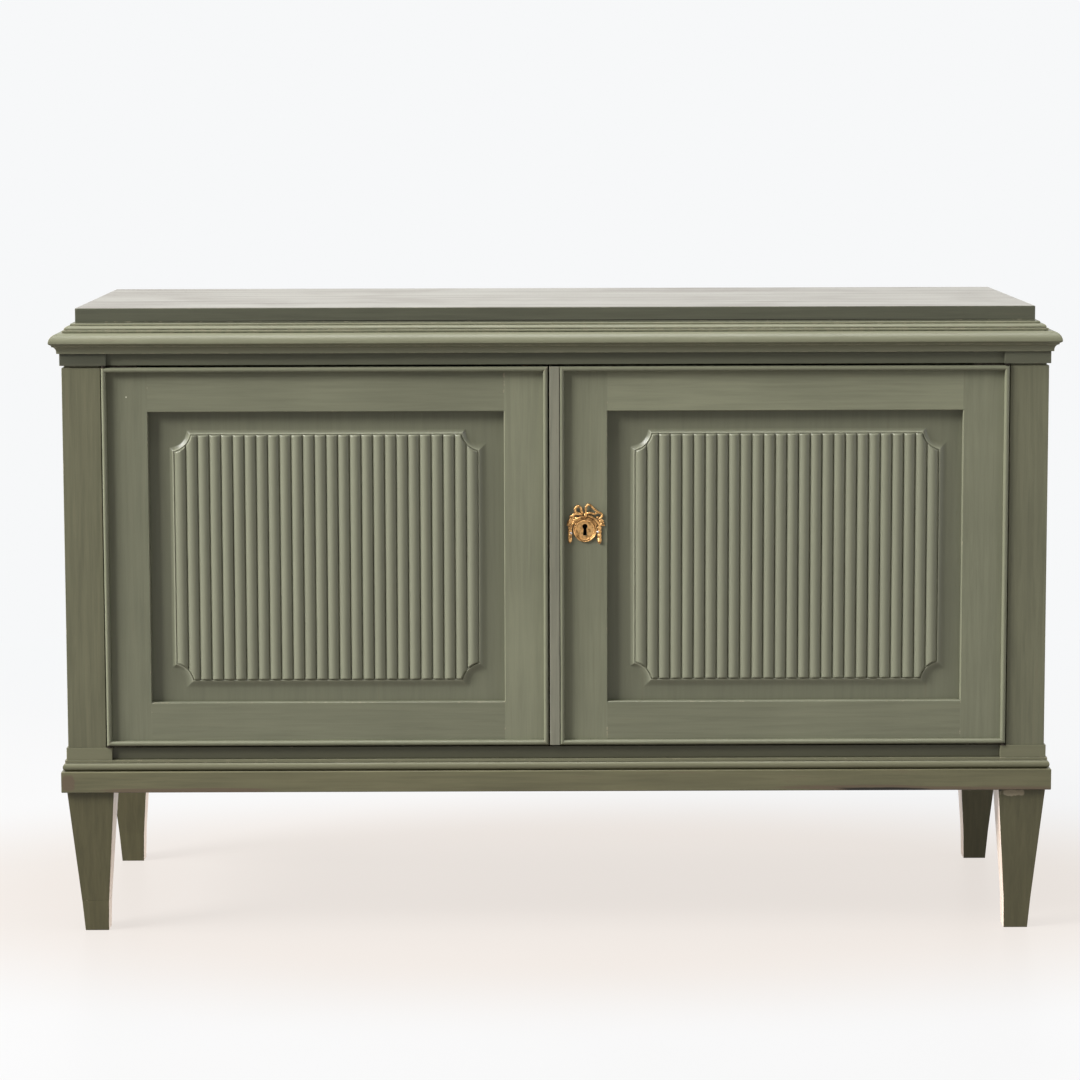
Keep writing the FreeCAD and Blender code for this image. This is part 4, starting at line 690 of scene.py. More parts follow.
# How far the reeds' paint pales: worn by hands, and a painted highlight
REED_RUBBED_AND_HIGHLIT_SHARE = 0.33
PANEL_SINK = 12.0 * MM
HALF_REEDS = FIELD_HALF[0] - BORDER
REED_PITCH = (2 * HALF_REEDS + REED_GAP) / REED_COUNT
REED_WIDTH = REED_PITCH - REED_GAP

# Where the sheet has lines: shares of the margin's width, and distances inwards from the field's outline
MARGIN_SHARES = np.array((0.0, 0.3, 0.6, 0.84, 0.88, 0.91, 0.94, 0.97))
LIP_FOOT_LINES = LIP_CREST + np.array((0.1, 0.35, 0.6, 0.85)) * MM
LIP_LINES = np.concatenate((np.linspace(0.0, LIP_CREST, 11), LIP_FOOT_LINES))
REED_END_LINES = BORDER + np.array((0.02, 0.15, 0.4, 0.8, 1.3, 1.7)) * MM
CORNER_LINES = np.linspace(BORDER + 2.2 * MM, CORNER_BITE + BORDER + 4.0 * MM, 44)


def smooth_step(value, low, high):
    """Rise from 0 to 1 between two values, level at both ends."""
    share = np.clip((value - low) / (high - low), 0.0, 1.0)
    return share * share * (3.0 - 2.0 * share)


def inset_from_outline(u, v):
    """Distance inwards from the field's outline, a rectangle whose corners are bitten by circles."""
    half_x, half_z = FIELD_HALF
    bite = np.hypot(np.abs(u) - half_x, np.abs(v) - half_z) - CORNER_BITE
    return np.minimum(np.minimum(half_x - np.abs(u), half_z - np.abs(v)), bite)


def reed_columns():
    """Places across the field that follow each reed's round, closer together in the corners."""
    half_width = REED_WIDTH / 2
    places = []
    for index in range(REED_COUNT):
        steps = 24 if index < 2 or index >= REED_COUNT - 2 else 12
        middle = -HALF_REEDS + REED_PITCH * index + half_width
        places.append(middle + (half_width - 0.02 * MM) * np.linspace(-1.0, 1.0, steps + 1))
        places.append(np.array((middle + half_width, middle + half_width + REED_GAP)))
    return np.concatenate(places)[:-1]


def lip_rise(inset, start, height, hollowness):
    """A hollow rise: its height times a power of the share of the way from its start to the crest."""
    share = np.clip((inset - start) / (LIP_CREST - start), 0.0, 1.0)
    return height * share ** hollowness


def lip_height(u, v, inset):
    """Height of the hollow lip over the margin and how far its paint pales: all the way at its crest, where
    the paler paint is also a painted highlight.

    The steep lip turns into the soft one across two corners.
    """
    half_x, half_z = FIELD_HALF
    from_steep = np.minimum(half_x + u, half_z - v)
    from_soft = np.minimum(half_x - u, half_z + v)
    soft = smooth_step(from_steep - from_soft, -LIP_TURN, LIP_TURN)
    lip = (1.0 - soft) * lip_rise(inset, *STEEP_LIP) + soft * lip_rise(inset, *SOFT_LIP)
    crest = (lip / STEEP_LIP[1]) ** 3 * (1.0 - smooth_step(inset, LIP_CREST, BORDER))
    return lip + (LIP_FOOT - lip) * smooth_step(inset, LIP_CREST + 0.1 * MM, BORDER), crest


def reed_height(u, v, inset):
    """Height of the reeds: circular arcs on a floor, whose ends turn down to it along a quarter circle.

    Each reed's rise has its own share of the full one, and drifts by a slow sine along the reed.
    """
    half_width = REED_WIDTH / 2
    number = np.clip(np.floor((u + HALF_REEDS) / REED_PITCH), 0, REED_COUNT - 1)
    across = u - (-HALF_REEDS + REED_PITCH * number + half_width)
    radius = (half_width ** 2 + REED_RISE ** 2) / (2 * REED_RISE)
    arc = np.sqrt(radius ** 2 - np.minimum(across ** 2, half_width ** 2)) - radius + REED_RISE
    tall = RANDOM.uniform(REED_LEAST_SHARE, 1.0, REED_COUNT)[number.astype(int)]
    drift = 1.0 + REED_DRIFT * np.sin(v * 17.0 + number * 2.1)
    end = np.clip((inset - BORDER) / REED_END, 0.0, 1.0)
    reed = REED_FLOOR + arc * tall * drift * np.sqrt(1.0 - (1.0 - end) ** 2)
    return np.where(np.abs(across) > half_width - 0.01 * MM, 0.5 * REED_FLOOR, reed)


def sheet_lines(low, high, centre, half, inner, middle):
    """Places of the sheet's lines one way: over the margin, inwards, across the middle, and back out."""
    start, end = centre - half, centre + half
    return np.concatenate((low + MARGIN_SHARES * (start - low), start + inner, middle,
                           end - inner[::-1], high - MARGIN_SHARES[::-1] * (high - end)))


def rim(grid):
    """The outermost entries of a grid, once round."""
    return np.concatenate((grid[0, :-1], grid[:-1, -1], grid[-1, :0:-1], grid[:0:-1, 0]))


def backed_sheet(front, back_y):
    """A closed solid from a sheet of points, walls behind its rim and a flat back."""
    rows, columns = front.shape[:2]
    flat = rim(front)
    flat[:, 1] = back_y
    edge = rim(np.arange(rows * columns).reshape(rows, columns))
    behind = rows * columns + np.arange(len(edge))
    walls = np.stack((edge, behind, np.roll(behind, -1), np.roll(edge, -1)), axis=-1)
    shell = Shell()
    shell.points = [front.reshape(-1, 3), flat]
    shell.faces = grid_quads(rows, columns, 0, False, False).tolist() + walls.tolist()
    shell.faces.append(behind[::-1].tolist())
    return shell


def reeded_panel(side, material):
    """A panel as a sheet of heights over a grid, closed by its edges and its flat back.

    Its attribute for paler paint is how far hands and brushes have worn the face, and also a painted
    highlight: most at the lip's crest, and less on the reeds.
    """
    node = side + "_door_panel"
    low, high = lowest(node), highest(node)
    centre = (low[[0, 2]] + high[[0, 2]]) / 2 + FIELD_SHIFT[side]
    across = sheet_lines(low[0], high[0], centre[0], FIELD_HALF[0], LIP_LINES, centre[0] + reed_columns())
    inner = np.concatenate((LIP_LINES, REED_END_LINES, CORNER_LINES))
    bottom, top = centre[1] - FIELD_HALF[1], centre[1] + FIELD_HALF[1]
    middle = np.linspace(bottom + inner[-1], top - inner[-1], 22)[1:-1]
    z, x = np.meshgrid(
        sheet_lines(low[2], high[2], centre[1], FIELD_HALF[1], inner, middle), across, indexing="ij")
    u, v = x - centre[0], z - centre[1]
    inset = inset_from_outline(u, v)
    lip, crest = lip_height(u, v, inset)
    height = np.where(inset > BORDER, reed_height(u, v, inset), lip)
    front = points_at(x, DOOR_FACE_Y + PANEL_SINK - height, z)
    piece = backed_sheet(front, high[1]).make(node + "_reeded", math.radians(50))
    rubbed = np.zeros(len(piece.data.vertices), dtype=np.float32)
    rubbed[:u.size] = np.where(inset > BORDER, REED_RUBBED_AND_HIGHLIT_SHARE, crest).ravel()
    piece.data.attributes.new("rubbed", "FLOAT", "POINT").data.foreach_set("value", rubbed)
    dress(piece, material, side + "_door", "painted_wood", node)


FRAME_CHAMFER = 0.9 * MM
PANEL_TONGUE = 7.5 * MM


def joint_filler(side, stile, hand, material):
    """Paint over a stile's two joints: three-sided rods that fill its eased arris beside the rails."""
    panel_low, panel_high = lowest(side + "_door_panel"), highest(side + "_door_panel")
    door_low, door_high = lowest(side + "_door_bottom_rail")[2], highest(side + "_door_top_rail")[2]
    opening_low = panel_low[2] + PANEL_TONGUE - FRAME_CHAMFER
    opening_high = panel_high[2] - PANEL_TONGUE + FRAME_CHAMFER
    edge = panel_low[0] + PANEL_TONGUE if hand < 0 else panel_high[0] - PANEL_TONGUE
    x = edge + hand * FRAME_CHAMFER * np.array((0.0, 1.0, 0.0))
    y = DOOR_FACE_Y + FRAME_CHAMFER * np.array((0.0, 0.0, 1.0))
    shell = Shell()
    for start, end in ((door_low + BEAD_WIDTH, opening_low), (opening_high, door_high - BEAD_WIDTH)):
        shell.add_rod(np.stack([points_at(x, y, height) for height in (start, end)]))
    dress(shell.make(stile + "_joint_filler"), material, side + "_door", "painted_wood")


# The brass lock plate

DISC_CENTRE = np.array((40.5, 569.3)) * MM
DISC_RADIUS = 16.6 * MM
KEYHOLE_CENTRE = np.array((40.5, 574.3)) * MM
KEYHOLE_RADIUS = 3.7 * MM
# From the keyhole's centre: where the rays to its outline start, the slot's foot, and half its two widths
KEYHOLE_ORIGIN = np.array((0.0, -2.0)) * MM
KEYHOLE_FOOT = -12.8 * MM
KEYHOLE_HALF_NECK = 1.9 * MM
KEYHOLE_HALF_FOOT = 2.9 * MM
# The disc's profile: shares of the way from the keyhole to its edge, and millimetres over the door
DISC_PROFILE = np.array((
    (0.0, 0.0), (0.0, 1.0), (0.05, 1.25), (0.2, 1.1), (0.5, 0.95), (0.74, 1.0), (0.84, 1.1), (0.87, 1.8),
    (0.91, 2.3), (0.95, 2.4), (0.985, 2.0), (1.0, 1.2), (1.0, 0.0),
))
RING_RADIUS = 13.3 * MM
RING_THICK = 0.85 * MM
RING_LIFT = 1.5 * MM
RING_BEADS = 36
RIPPLE_SHARE = 0.14


def keyhole_outline(count):
    """A round hole with a slot below it that widens downwards, as many points as the disc's edge has.

    The points leave a place in the hole at equal angles and stop where they meet its outline.
    """
    angle = turns(count)
    direction = np.column_stack((np.cos(angle), np.sin(angle)))
    origin = KEYHOLE_ORIGIN
    flare = (KEYHOLE_HALF_FOOT - KEYHOLE_HALF_NECK) / (origin[1] - KEYHOLE_FOOT)
    along = direction @ -origin
    square = along ** 2 - (origin @ origin) + KEYHOLE_RADIUS ** 2
    to_circle = np.where(square > 0, along + np.sqrt(np.maximum(square, 0.0)), 0.0)
    with np.errstate(divide="ignore"):
        slant = np.abs(direction[:, 0]) + flare * direction[:, 1]
        to_side = np.where(slant > 0, KEYHOLE_HALF_NECK / slant, np.inf)
        to_foot = np.where(direction[:, 1] < 0, (KEYHOLE_FOOT - origin[1]) / direction[:, 1], np.inf)
        to_top = np.where(direction[:, 1] > 0, -origin[1] / direction[:, 1], np.inf)
    to_slot = np.minimum(np.minimum(to_side, to_foot), to_top)
    reach = np.maximum(to_circle, to_slot)
    return origin + direction * reach[:, None], direction


def lock_disc(shell):
    """The round plate between the keyhole and its edge: a sunk face, a quirk and a rounded rim."""
    hole, direction = keyhole_outline(72)
    hole = hole + KEYHOLE_CENTRE
    edge = DISC_CENTRE + direction * DISC_RADIUS
    flat = between(hole[None], edge[None], DISC_PROFILE[:, 0, None, None])
    y = DOOR_FACE_Y - DISC_PROFILE[:, 1, None] * MM
    shell.add_grid(points_at(flat[..., 0], y, flat[..., 1]), wrap_rows=True, wrap_columns=True)


def rope_ring(shell):
    """A thin ring on the disc's face whose thickness rises and falls like a row of beads."""
    turn = turns(180)
    side_turn = turns(8)
    thick = RING_THICK * (1.0 + 0.25 * np.cos(turn * RING_BEADS))[:, None]
    reach = RING_RADIUS + thick * np.cos(side_turn)
    x = DISC_CENTRE[0] + reach * np.cos(turn)[:, None]
    z = DISC_CENTRE[1] + reach * np.sin(turn)[:, None]
    y = DOOR_FACE_Y - RING_LIFT - thick * np.sin(side_turn)
    shell.add_grid(points_at(x, y, z), wrap_rows=True, wrap_columns=True)


def tube(shell, path, radius, sides, flatten):
    """A round rod along a path; flatten squashes it towards the plate."""
    along = np.gradient(path, axis=0)
    along /= np.linalg.norm(along, axis=1)[:, None]
    out = np.array((0.0, -1.0, 0.0))
    beside = np.cross(along, out)
    beside /= np.linalg.norm(beside, axis=1)[:, None]
    turn = turns(sides)
    radius = np.broadcast_to(radius, (len(path),))
    ring = beside[:, None] * np.cos(turn)[None, :, None] + out * (np.sin(turn) * flatten)[None, :, None]
    shell.add_rod(path[:, None] + ring * radius[:, None, None])


def on_plate(across, up, lift):
    """Places on the lock plate, in millimetres from the disc's middle and over the door's face."""
    x = DISC_CENTRE[0] + np.asarray(across) * MM
    z = DISC_CENTRE[1] + np.asarray(up) * MM
    return points_at(x, DOOR_FACE_Y - np.asarray(lift) * MM, z)


def strand(shell, places, thick, steps=7, flatten=0.75):
    """A rod of the plate's relief along a smooth line through a few places.

    Each span is a cubic whose slope at a place follows the places on both sides of it. The rod closes to a
    round point over its first and last eighth, and swells and shrinks twice in each span.
    """
    given = np.array(places)
    padded = np.vstack((2 * given[0] - given[1], given, 2 * given[-1] - given[-2]))
    a, b, c, d = (padded[first:len(padded) - 3 + first, None] for first in range(4))
    share = np.linspace(0.0, 1.0, steps, endpoint=False)[None, :, None]
    spans = 2 * b + (c - a) * share + (2 * a - 5 * b + 4 * c - d) * share ** 2
    spans = (spans + (3 * b - a - 3 * c + d) * share ** 3) / 2
    line = np.vstack((spans.reshape(-1, 3), given[-1:]))
    run = np.linspace(0.0, 1.0, len(line))
    close = np.clip(np.minimum(run, 1.0 - run) * 8.0, 0.05, 1.0)
    ripple = 1.0 + RIPPLE_SHARE * np.sin(run * 4.0 * math.pi * (len(given) - 1))
    radius = thick * MM * np.sqrt(close * (2.0 - close)) * ripple
    tube(shell, on_plate(line[:, 0], line[:, 1], line[:, 2]), radius, 8, flatten)


def leaf(shell, root, angle, length, width, lift):
    """A small pointed leaf: a rod that swells and closes, lying along an angle on the plate."""
    share = np.linspace(0.0, 1.0, 7)
    turn = math.radians(angle)
    across = root[0] + math.cos(turn) * length * share
    up = root[1] + math.sin(turn) * length * share
    height = lift + 0.7 * np.sin(share * math.pi)
    swell = np.sqrt(np.sin(np.clip(share ** 0.8, 0.03, 0.97) * math.pi))
    tube(shell, on_plate(across, up, height), width / 2 * MM * swell, 6, 0.6)


# The relief's ribbons and stems, each with its half thickness: places across and up from the disc's middle
# and over the door, in millimetres
RIBBONS = [
    ([(-2.0, 22.6, 1.8), (-4.6, 26.0, 2.6), (-6.0, 31.5, 3.0), (-10.0, 33.6, 3.0), (-13.6, 30.0, 2.8),
      (-13.0, 25.4, 2.4), (-9.0, 23.2, 2.0), (-2.5, 22.4, 1.8)], 1.7),
    ([(1.6, 22.4, 1.8), (1.0, 28.0, 2.6), (2.6, 34.0, 3.0), (5.6, 35.8, 3.0), (9.4, 33.2, 2.8),
      (13.6, 28.6, 2.6), (18.4, 25.2, 2.6), (23.0, 22.8, 2.4), (23.8, 19.8, 2.2), (21.4, 16.6, 1.8),
      (19.8, 13.4, 1.5)], 1.6),
    ([(1.8, 22.8, 2.0), (6.0, 24.2, 2.8), (10.4, 23.4, 2.6), (14.0, 22.8, 2.4), (17.2, 24.6, 2.2)], 1.6),
    ([(-2.0, 21.8, 1.8), (-7.0, 22.2, 2.4), (-12.0, 22.6, 2.2), (-16.4, 21.6, 1.8)], 1.6),
]
STEMS = [
    ([(0.6, 18.8, 1.2), (-6.0, 18.4, 1.8), (-12.0, 14.8, 2.0), (-16.6, 9.6, 2.0), (-18.8, 4.6, 1.8),
      (-19.4, 0.0, 1.4)], 1.6),
    ([(-1.0, 16.9, 1.2), (-6.4, 15.9, 1.6), (-11.4, 12.6, 1.6), (-14.8, 8.2, 1.4)], 0.9),
    ([(2.4, 20.4, 1.4), (8.6, 18.8, 2.0), (14.4, 14.6, 2.2), (18.8, 9.0, 2.2), (20.9, 3.6, 1.8),
      (21.2, -1.0, 1.4)], 1.7),
    ([(3.0, 17.2, 1.2), (8.8, 15.2, 1.6), (13.6, 11.2, 1.7), (17.0, 5.6, 1.4)], 1.0),
]
# The bow's knot: across, up, half height and height over the door
KNOT = (0.8, 20.8, 3.4, 2.2)
KNOT_RADIUS = 2.5 * MM
# Leaf clusters at the shoulders: the first and last leaf's root, their number, angle, length and width
LEAF_ROWS = [
    ((-13.4, 23.4), (-19.4, 11.4), 6, 212.0, 7.4, 3.3),
    ((-14.6, 18.4), (-19.0, 8.6), 5, 196.0, 7.2, 3.0),
    ((-11.4, 19.2), (-17.4, 8.0), 5, 232.0, 5.0, 2.4),
    ((17.6, 15.6), (20.6, 8.2), 4, -8.0, 8.0, 3.2),
    ((15.4, 16.8), (19.6, 10.4), 3, 30.0, 5.4, 2.6),
]
# The hanging ends: across, top, bottom and half width
HANGING_ENDS = [(-20.9, 4.4, -15.6, 2.7), (20.2, 3.8, -16.6, 2.7)]
# The leaves of a hanging end: angle, shift across and height
HANGING_LEAVES = [(-106.0, -0.8, 1.5), (-74.0, 0.8, 1.5), (-90.0, 0.0, 2.1)]
PINS = [(-19.2, -4.4), (17.9, -2.4)]
PIN_RADIUS = 1.7 * MM
PIN_LIFT = 2.2 * MM
PIN_DOME = 1.1 * MM


def lock_relief(shell):
    """The bow, its ribbons, the stems round the disc, the leaf clusters and the hanging ends."""
    for places, thick in RIBBONS + STEMS:
        strand(shell, places, thick)
    share = np.linspace(-1.0, 1.0, 9)
    round_off = np.sqrt(np.clip(1.0 - share ** 2, 0.02, 1.0))
    across, up, half_height, lift = KNOT
    tube(shell, on_plate(across, up + half_height * share, lift), KNOT_RADIUS * round_off, 10, 0.9)
    for first, last, count, angle, length, width in LEAF_ROWS:
        for share in np.linspace(0.0, 1.0, count):
            root = between(np.array(first), np.array(last), share)
            turn = angle + RANDOM.uniform(-9.0, 9.0)
            reach = length * RANDOM.uniform(0.85, 1.1)
            leaf(shell, root, turn, reach, width, 1.5 + 0.5 * (share * count % 2))
    for across, top, bottom, half in HANGING_ENDS:
        strand(shell, [(across, top, 1.2), (across, (top + bottom) / 2, 1.4), (across, bottom - half, 1.2)],
               half, 8, 0.45)
        for share in np.linspace(0.0, 0.82, 4):
            up = top + (bottom - top) * share
            for turn, shift, lift in HANGING_LEAVES:
                leaf(shell, (across + shift, up + 2.0), turn, 5.0, 2.6, lift)
        leaf(shell, (across, bottom + 3.2), -90.0, 5.4, 4.4, 2.0)


def lock_pins(material):
    """Two pin heads that fix the plate: their domes are quarter ellipses turned about the pins."""
    shell = Shell()
    share = np.linspace(0.0, 1.0, 7)
    turn = turns(14)
    for across, up in PINS:
        centre = on_plate(across, up, 0.0)
        radius = PIN_RADIUS * np.cos(share * math.pi / 2 * 0.97)
        height = PIN_LIFT + PIN_DOME * np.sin(share * math.pi / 2)
        x = centre[0] + radius[:, None] * np.cos(turn)
        z = centre[2] + radius[:, None] * np.sin(turn)
        shell.add_rod(points_at(x, (centre[1] - height)[:, None], z))
    dress(shell.make("escutcheon_pins"), material, "right_door", "iron")


def lock_plate(material):
    """The whole brass lock plate as one piece."""
    shell = Shell()
    lock_disc(shell)
    rope_ring(shell)
    lock_relief(shell)
    dress(shell.make("escutcheon_cast", math.radians(60)), material, "right_door", "brass", "escutcheon")


# Finishes

def finish(material, ease, *nodes):
    """A new material on carried-over nodes, with their edges eased where a width is given."""
    for node in nodes:
        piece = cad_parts[node]
        if piece.material_slots:
            for slot in piece.material_slots:
                slot.material = material
        else:
            piece.data.materials.append(material)
        if ease:
            ease_edges(piece, ease)


def near(x, y, z):
    """A place in metres from millimetres."""
    return (x * MM, y * MM, z * MM)


# Worn places, and a painted shadow line under the top: centre, half sizes, colour and how far noise tears
# their edges
PLINTH_SPOTS = [
    (near(-683, -268, 217), near(10, 8, 13), UNDERCOAT, 0.8),
    (near(520, -268, 203), near(230, 8, 7), UNDERCOAT, 1.6),
    (near(455, -268, 203), near(70, 8, 3.4), DIRT_AND_SHADE, 1.8),
    (near(-520, -268, 205), near(120, 8, 4), UNDERCOAT, 1.8),
]
# A dark line along the top's lower front edge: painted shadow of the gap over the cornice
SLAB_SHADOW_LINE = [((0.0, lowest("top_slab")[1], lowest("top_slab")[2]), near(680, 8, 1.7), DIRT_AND_SHADE, 0.9)]
LEG_SPOTS = [
    (near(640, -262, 197), near(19, 14, 5), SCRAPED, 1.4),
    (near(618, -262, 201.5), near(9, 14, 2.2), DIRT_AND_SHADE, 0.8),
]
STILE_SPOTS = {"left_door_hinge_stile": [(near(-595, -254, 756.5), near(1.0, 8, 1.0), SPECK_PALE, 0.2)]}

# Unpainted faces: direction, colour, colour of the streaks and roughness
TOP_FACE = ((0.0, 0.0, 1.0), TOP_PALE, TOP_LINE, 0.30)
UNDER_FACE = ((0.0, 0.0, -1.0), OLD_PINE, PINE_LINE, 0.7)
# The legs' bare inner faces carry painted light: their wood is made paler for the light from the floor and
# surround
LEFT_LEG_INSIDE = ((1.0, 0.0, 0.0), LIT_BARE_WOOD, LIT_BARE_WOOD_LINE, 0.32)
RIGHT_LEG_INSIDE = ((-1.0, 0.0, 0.0), LIT_BARE_WOOD, LIT_BARE_WOOD_LINE, 0.32)

METAL_EASE = 0.1 * MM
WOOD_EASE = 0.7 * MM

# Paints: the grain's direction, what sets the paint apart, and the carried-over nodes that it goes on
PAINTS = {
    "posts": ("upright", dict(tone=0.84, streaks=0.8, thin=0.7, patches=0.3, warm=0.05),
              ["post_front_right", "post_rear_right"]),
    # The left posts are painted darker than the right ones: painted shade that offsets the stronger light
    # from the left
    "left_post": ("upright", dict(tone=0.75, streaks=0.9, thin=0.8, patches=0.3, warm=0.09),
                  ["post_front_left", "post_rear_left"]),
    "strip": ("upright", dict(tone=1.14, paint=PAINT_GREY, streaks=0.9, thin=0.7), ["meeting_strip"]),
    "top": ("level", dict(tone=0.47, roughness=0.4, streaks=0.7, thin=0.6, bare_face=TOP_FACE,
                          spots=SLAB_SHADOW_LINE), ["top_slab"]),
    # The frieze and both capitals are painted darker: painted shade under the cornice, deepest on the left
    # capital
    "frieze": ("level", dict(tone=0.66, thin=0.35, streaks=0.4), ["frieze_rail"]),
    "left_capital": ("level", dict(tone=0.42, thin=0.35, streaks=0.4), ["capital_left"]),
    "right_capital": ("level", dict(tone=0.64, thin=0.35, streaks=0.4), ["capital_right"]),
    # The base rail's dark tone is its own darker paint and painted shade under the doors' bottom beads
    "base_rail": ("level", dict(tone=0.47, warm=0.07), ["base_rail"]),
    "cornice": ("level", dict(tone=1.02, warm=0.03, thin=0.5, wear=0.3, streaks=0.42), []),
    "cornice_side": ("deep", dict(wear=0.3), []),
    "moulding": ("level", dict(tone=0.92, warm=0.08, thin=0.35), ["base_block_left", "base_block_right"]),
    "moulding_side": ("deep", dict(tone=0.92, warm=0.08), ["side_rails"]),
    "plinth": ("level", dict(tone=0.76, warm=0.16, thin=1.0, streaks=0.9, patches=0.3, cracks=0.9,
                             spots=PLINTH_SPOTS), ["plinth_front"]),
    "plinth_side": ("deep", dict(tone=0.76, warm=0.14, thin=0.4), ["plinth_left", "plinth_right"]),
    "sides": ("upright", dict(tone=0.95), ["side_panel_left", "side_panel_right"]),
    "beads": ("upright", dict(tone=1.08, wear=0.32, roughness=0.34), []),
    # The reeds' paint pales: worn by hands, and a painted highlight
    "reeds": ("upright", dict(tone=0.93, wear=0.1, thin=0.25, roughness=0.34, grime=0.5, reach=1.4 * MM,
                              cracks=0.9, streaks=0.32, rubbed=0.6), []),
    "over_pine": ("level", dict(tone=0.6, bare_face=UNDER_FACE), ["sub_top"]),
    "leg_left": ("upright", dict(tone=0.52, warm=0.24, thin=0.7, streaks=0.8, bare_face=LEFT_LEG_INSIDE),
                 ["leg_front_left", "leg_rear_left", "foot_piece_front_left"]),
    "leg_right": ("upright", dict(tone=0.53, warm=0.2, thin=0.7, streaks=0.8, bare_face=RIGHT_LEG_INSIDE,
                                  spots=LEG_SPOTS), ["leg_front_right", "leg_rear_right"]),
}
# How pale each piece of the two doors' frames is painted
FRAME_TONES = {
    "left_door_hinge_stile": 1.0, "left_door_meeting_stile": 1.19,
    "right_door_lock_stile": 1.13, "right_door_hinge_stile": 1.09,
    "left_door_top_rail": 1.04, "left_door_bottom_rail": 1.0,
    "right_door_top_rail": 1.28, "right_door_bottom_rail": 1.04,
}

paints = {}
for name, (grain, settings, nodes) in PAINTS.items():
    paints[name] = painted("sage_" + name, grain, **settings)
    finish(paints[name], WOOD_EASE, *nodes)
for node, tone in FRAME_TONES.items():
    grain = "level" if node.endswith("rail") else "upright"
    paints[node] = painted("sage_" + node, grain, tone=tone, streaks=0.55, patches=0.4, thin=0.3,
                           spots=STILE_SPOTS.get(node, ()))
    finish(paints[node], None, node)
brass = metal("gilt_brass", srgb(218, 170, 110), srgb(74, 44, 20), 0.28, 0.8, 5.0 * MM)
steel = metal("bright_steel", srgb(205, 200, 196), srgb(120, 112, 104), 0.3, 0.4)
iron = metal("dark_iron", srgb(64, 58, 52), srgb(30, 26, 22), 0.6, 0.9)
finish(bare_pine("pine_level", "level"), WOOD_EASE, "bottom_board", "shelf", "shelf_battens", "plinth_back")
finish(bare_pine("pine_upright", "upright"), WOOD_EASE, "back_boards", "corner_blocks")
finish(brass, METAL_EASE, "flush_bolt_cases", "upper_bolt", "lower_bolt")
finish(iron, METAL_EASE, "case_hinge_plates", "left_door_hinge_plates", "right_door_hinge_plates",
       "lock_case", "lock_bolt")

wrap("cornice", cornice_section(), paints["cornice"], paints["cornice_side"])
wrap("base_moulding", base_section(), paints["moulding"], paints["moulding_side"])
side_beads(paints["moulding_side"])
for side in ("left", "right"):
    door_beads(side, paints["beads"])
    reeded_panel(side, paints["reeds"])
for side, stile, hand in (
    ("left", "left_door_hinge_stile", -1.0),
    ("left", "left_door_meeting_stile", 1.0),
    ("right", "right_door_lock_stile", -1.0),
    ("right", "right_door_hinge_stile", 1.0),
):
    joint_filler(side, stile, hand, paints[stile])
lock_plate(brass)
lock_pins(steel)


# Floor, light and camera

BACKDROP = srgb(247, 248, 249)
FLOOR_SEEN = srgb(204, 198, 194)
FLOOR_SEEN_DARK = srgb(200, 194, 189)
# Warm tint of the floor's own light near the sideboard: painted shade under it
FLOOR_SHADE_TINT_NEAR = srgb(240, 233, 227)
FLOOR_BOUNCE = srgb(108, 102, 94)
FLOOR_OWN_SHARE = 0.86
FLOOR_HALF = 40.0
# The floor's fading: a stretch to the sideboard's footprint, and the distances between which it changes
FLOOR_STRETCH = (1.0, 1.7, 1.0)
FLOOR_FADE = (1.2, 4.5)
# Distances over which the floor's own light turns from the warm painted shade near the sideboard to the
# backdrop
FLOOR_SHADE_TINT_REACH = (0.7, 1.5)
WORLD_FRONT_LEVEL = 0.05
WORLD_BACK_LEVEL = 0.5
GLOSS_FRONT_LEVEL = 0.35
# Name, azimuth, elevation, distance, width, height, level and whether gloss mirrors the lamp; the low ones
# aren't mirrored, so that the level top doesn't shine white when it is seen from the other side
LAMPS = [
    ("key", -62.0, 34.0, 9.0, 3.0, 3.15, 1.5, True),
    ("left_wall", -87.0, 10.0, 9.0, 4.5, 3.0, 1.15, False),
    ("right_wall", 100.0, 3.0, 9.0, 4.5, 1.6, 0.9, False),
    ("fill", 60.0, 14.0, 4.0, 1.6, 1.6, 0.2, True),
    ("overhead", 0.0, 82.0, 5.0, 2.4, 2.4, 0.78, True),
]
# The camera that was fitted to the photograph's straight edges
CAMERA_PLACE = (-0.0404, -5.2769, 1.1615)
CAMERA_YAW = math.radians(0.2091)
CAMERA_PITCH = math.radians(-6.8806)
CAMERA_ROLL = math.radians(-0.1493)
CAMERA_LENS = 121.096


def seen_rays(nodes):
    """Masks of the rays that meet the surround: seen straight on or through glass, and mirrored."""
    path = nodes.add("ShaderNodeLightPath").outputs
    return nodes.math("MAXIMUM", path["Is Camera Ray"], path["Is Transmission Ray"]), path["Is Glossy Ray"]


def make_world():
    """A pale surround: white to the eye; to gloss and as light, bright behind and dim in front."""
    world = bpy.data.worlds.new("studio")
    bpy.context.scene.world = world
    world.use_nodes = True
    nodes = Nodes(world.node_tree)
    background = world.node_tree.nodes["Background"]
    background.inputs["Color"].default_value = BACKDROP
    direction = nodes.add("ShaderNodeTexCoord").outputs["Generated"]
    toward_back = nodes.add("ShaderNodeSeparateXYZ", {0: direction}).outputs["Y"]
    level = nodes.remap(toward_back, -0.4, 0.6, WORLD_FRONT_LEVEL, WORLD_BACK_LEVEL)
    gloss_level = nodes.remap(toward_back, -0.8, 0.1, GLOSS_FRONT_LEVEL, 1.0)
    straight, glossy = seen_rays(nodes)
    lit = nodes.plus(nodes.times(level, nodes.minus(1.0, glossy)), nodes.times(gloss_level, glossy))
    strength = nodes.plus(nodes.times(lit, nodes.minus(1.0, straight)), straight)
    nodes.set(background, {"Strength": strength})


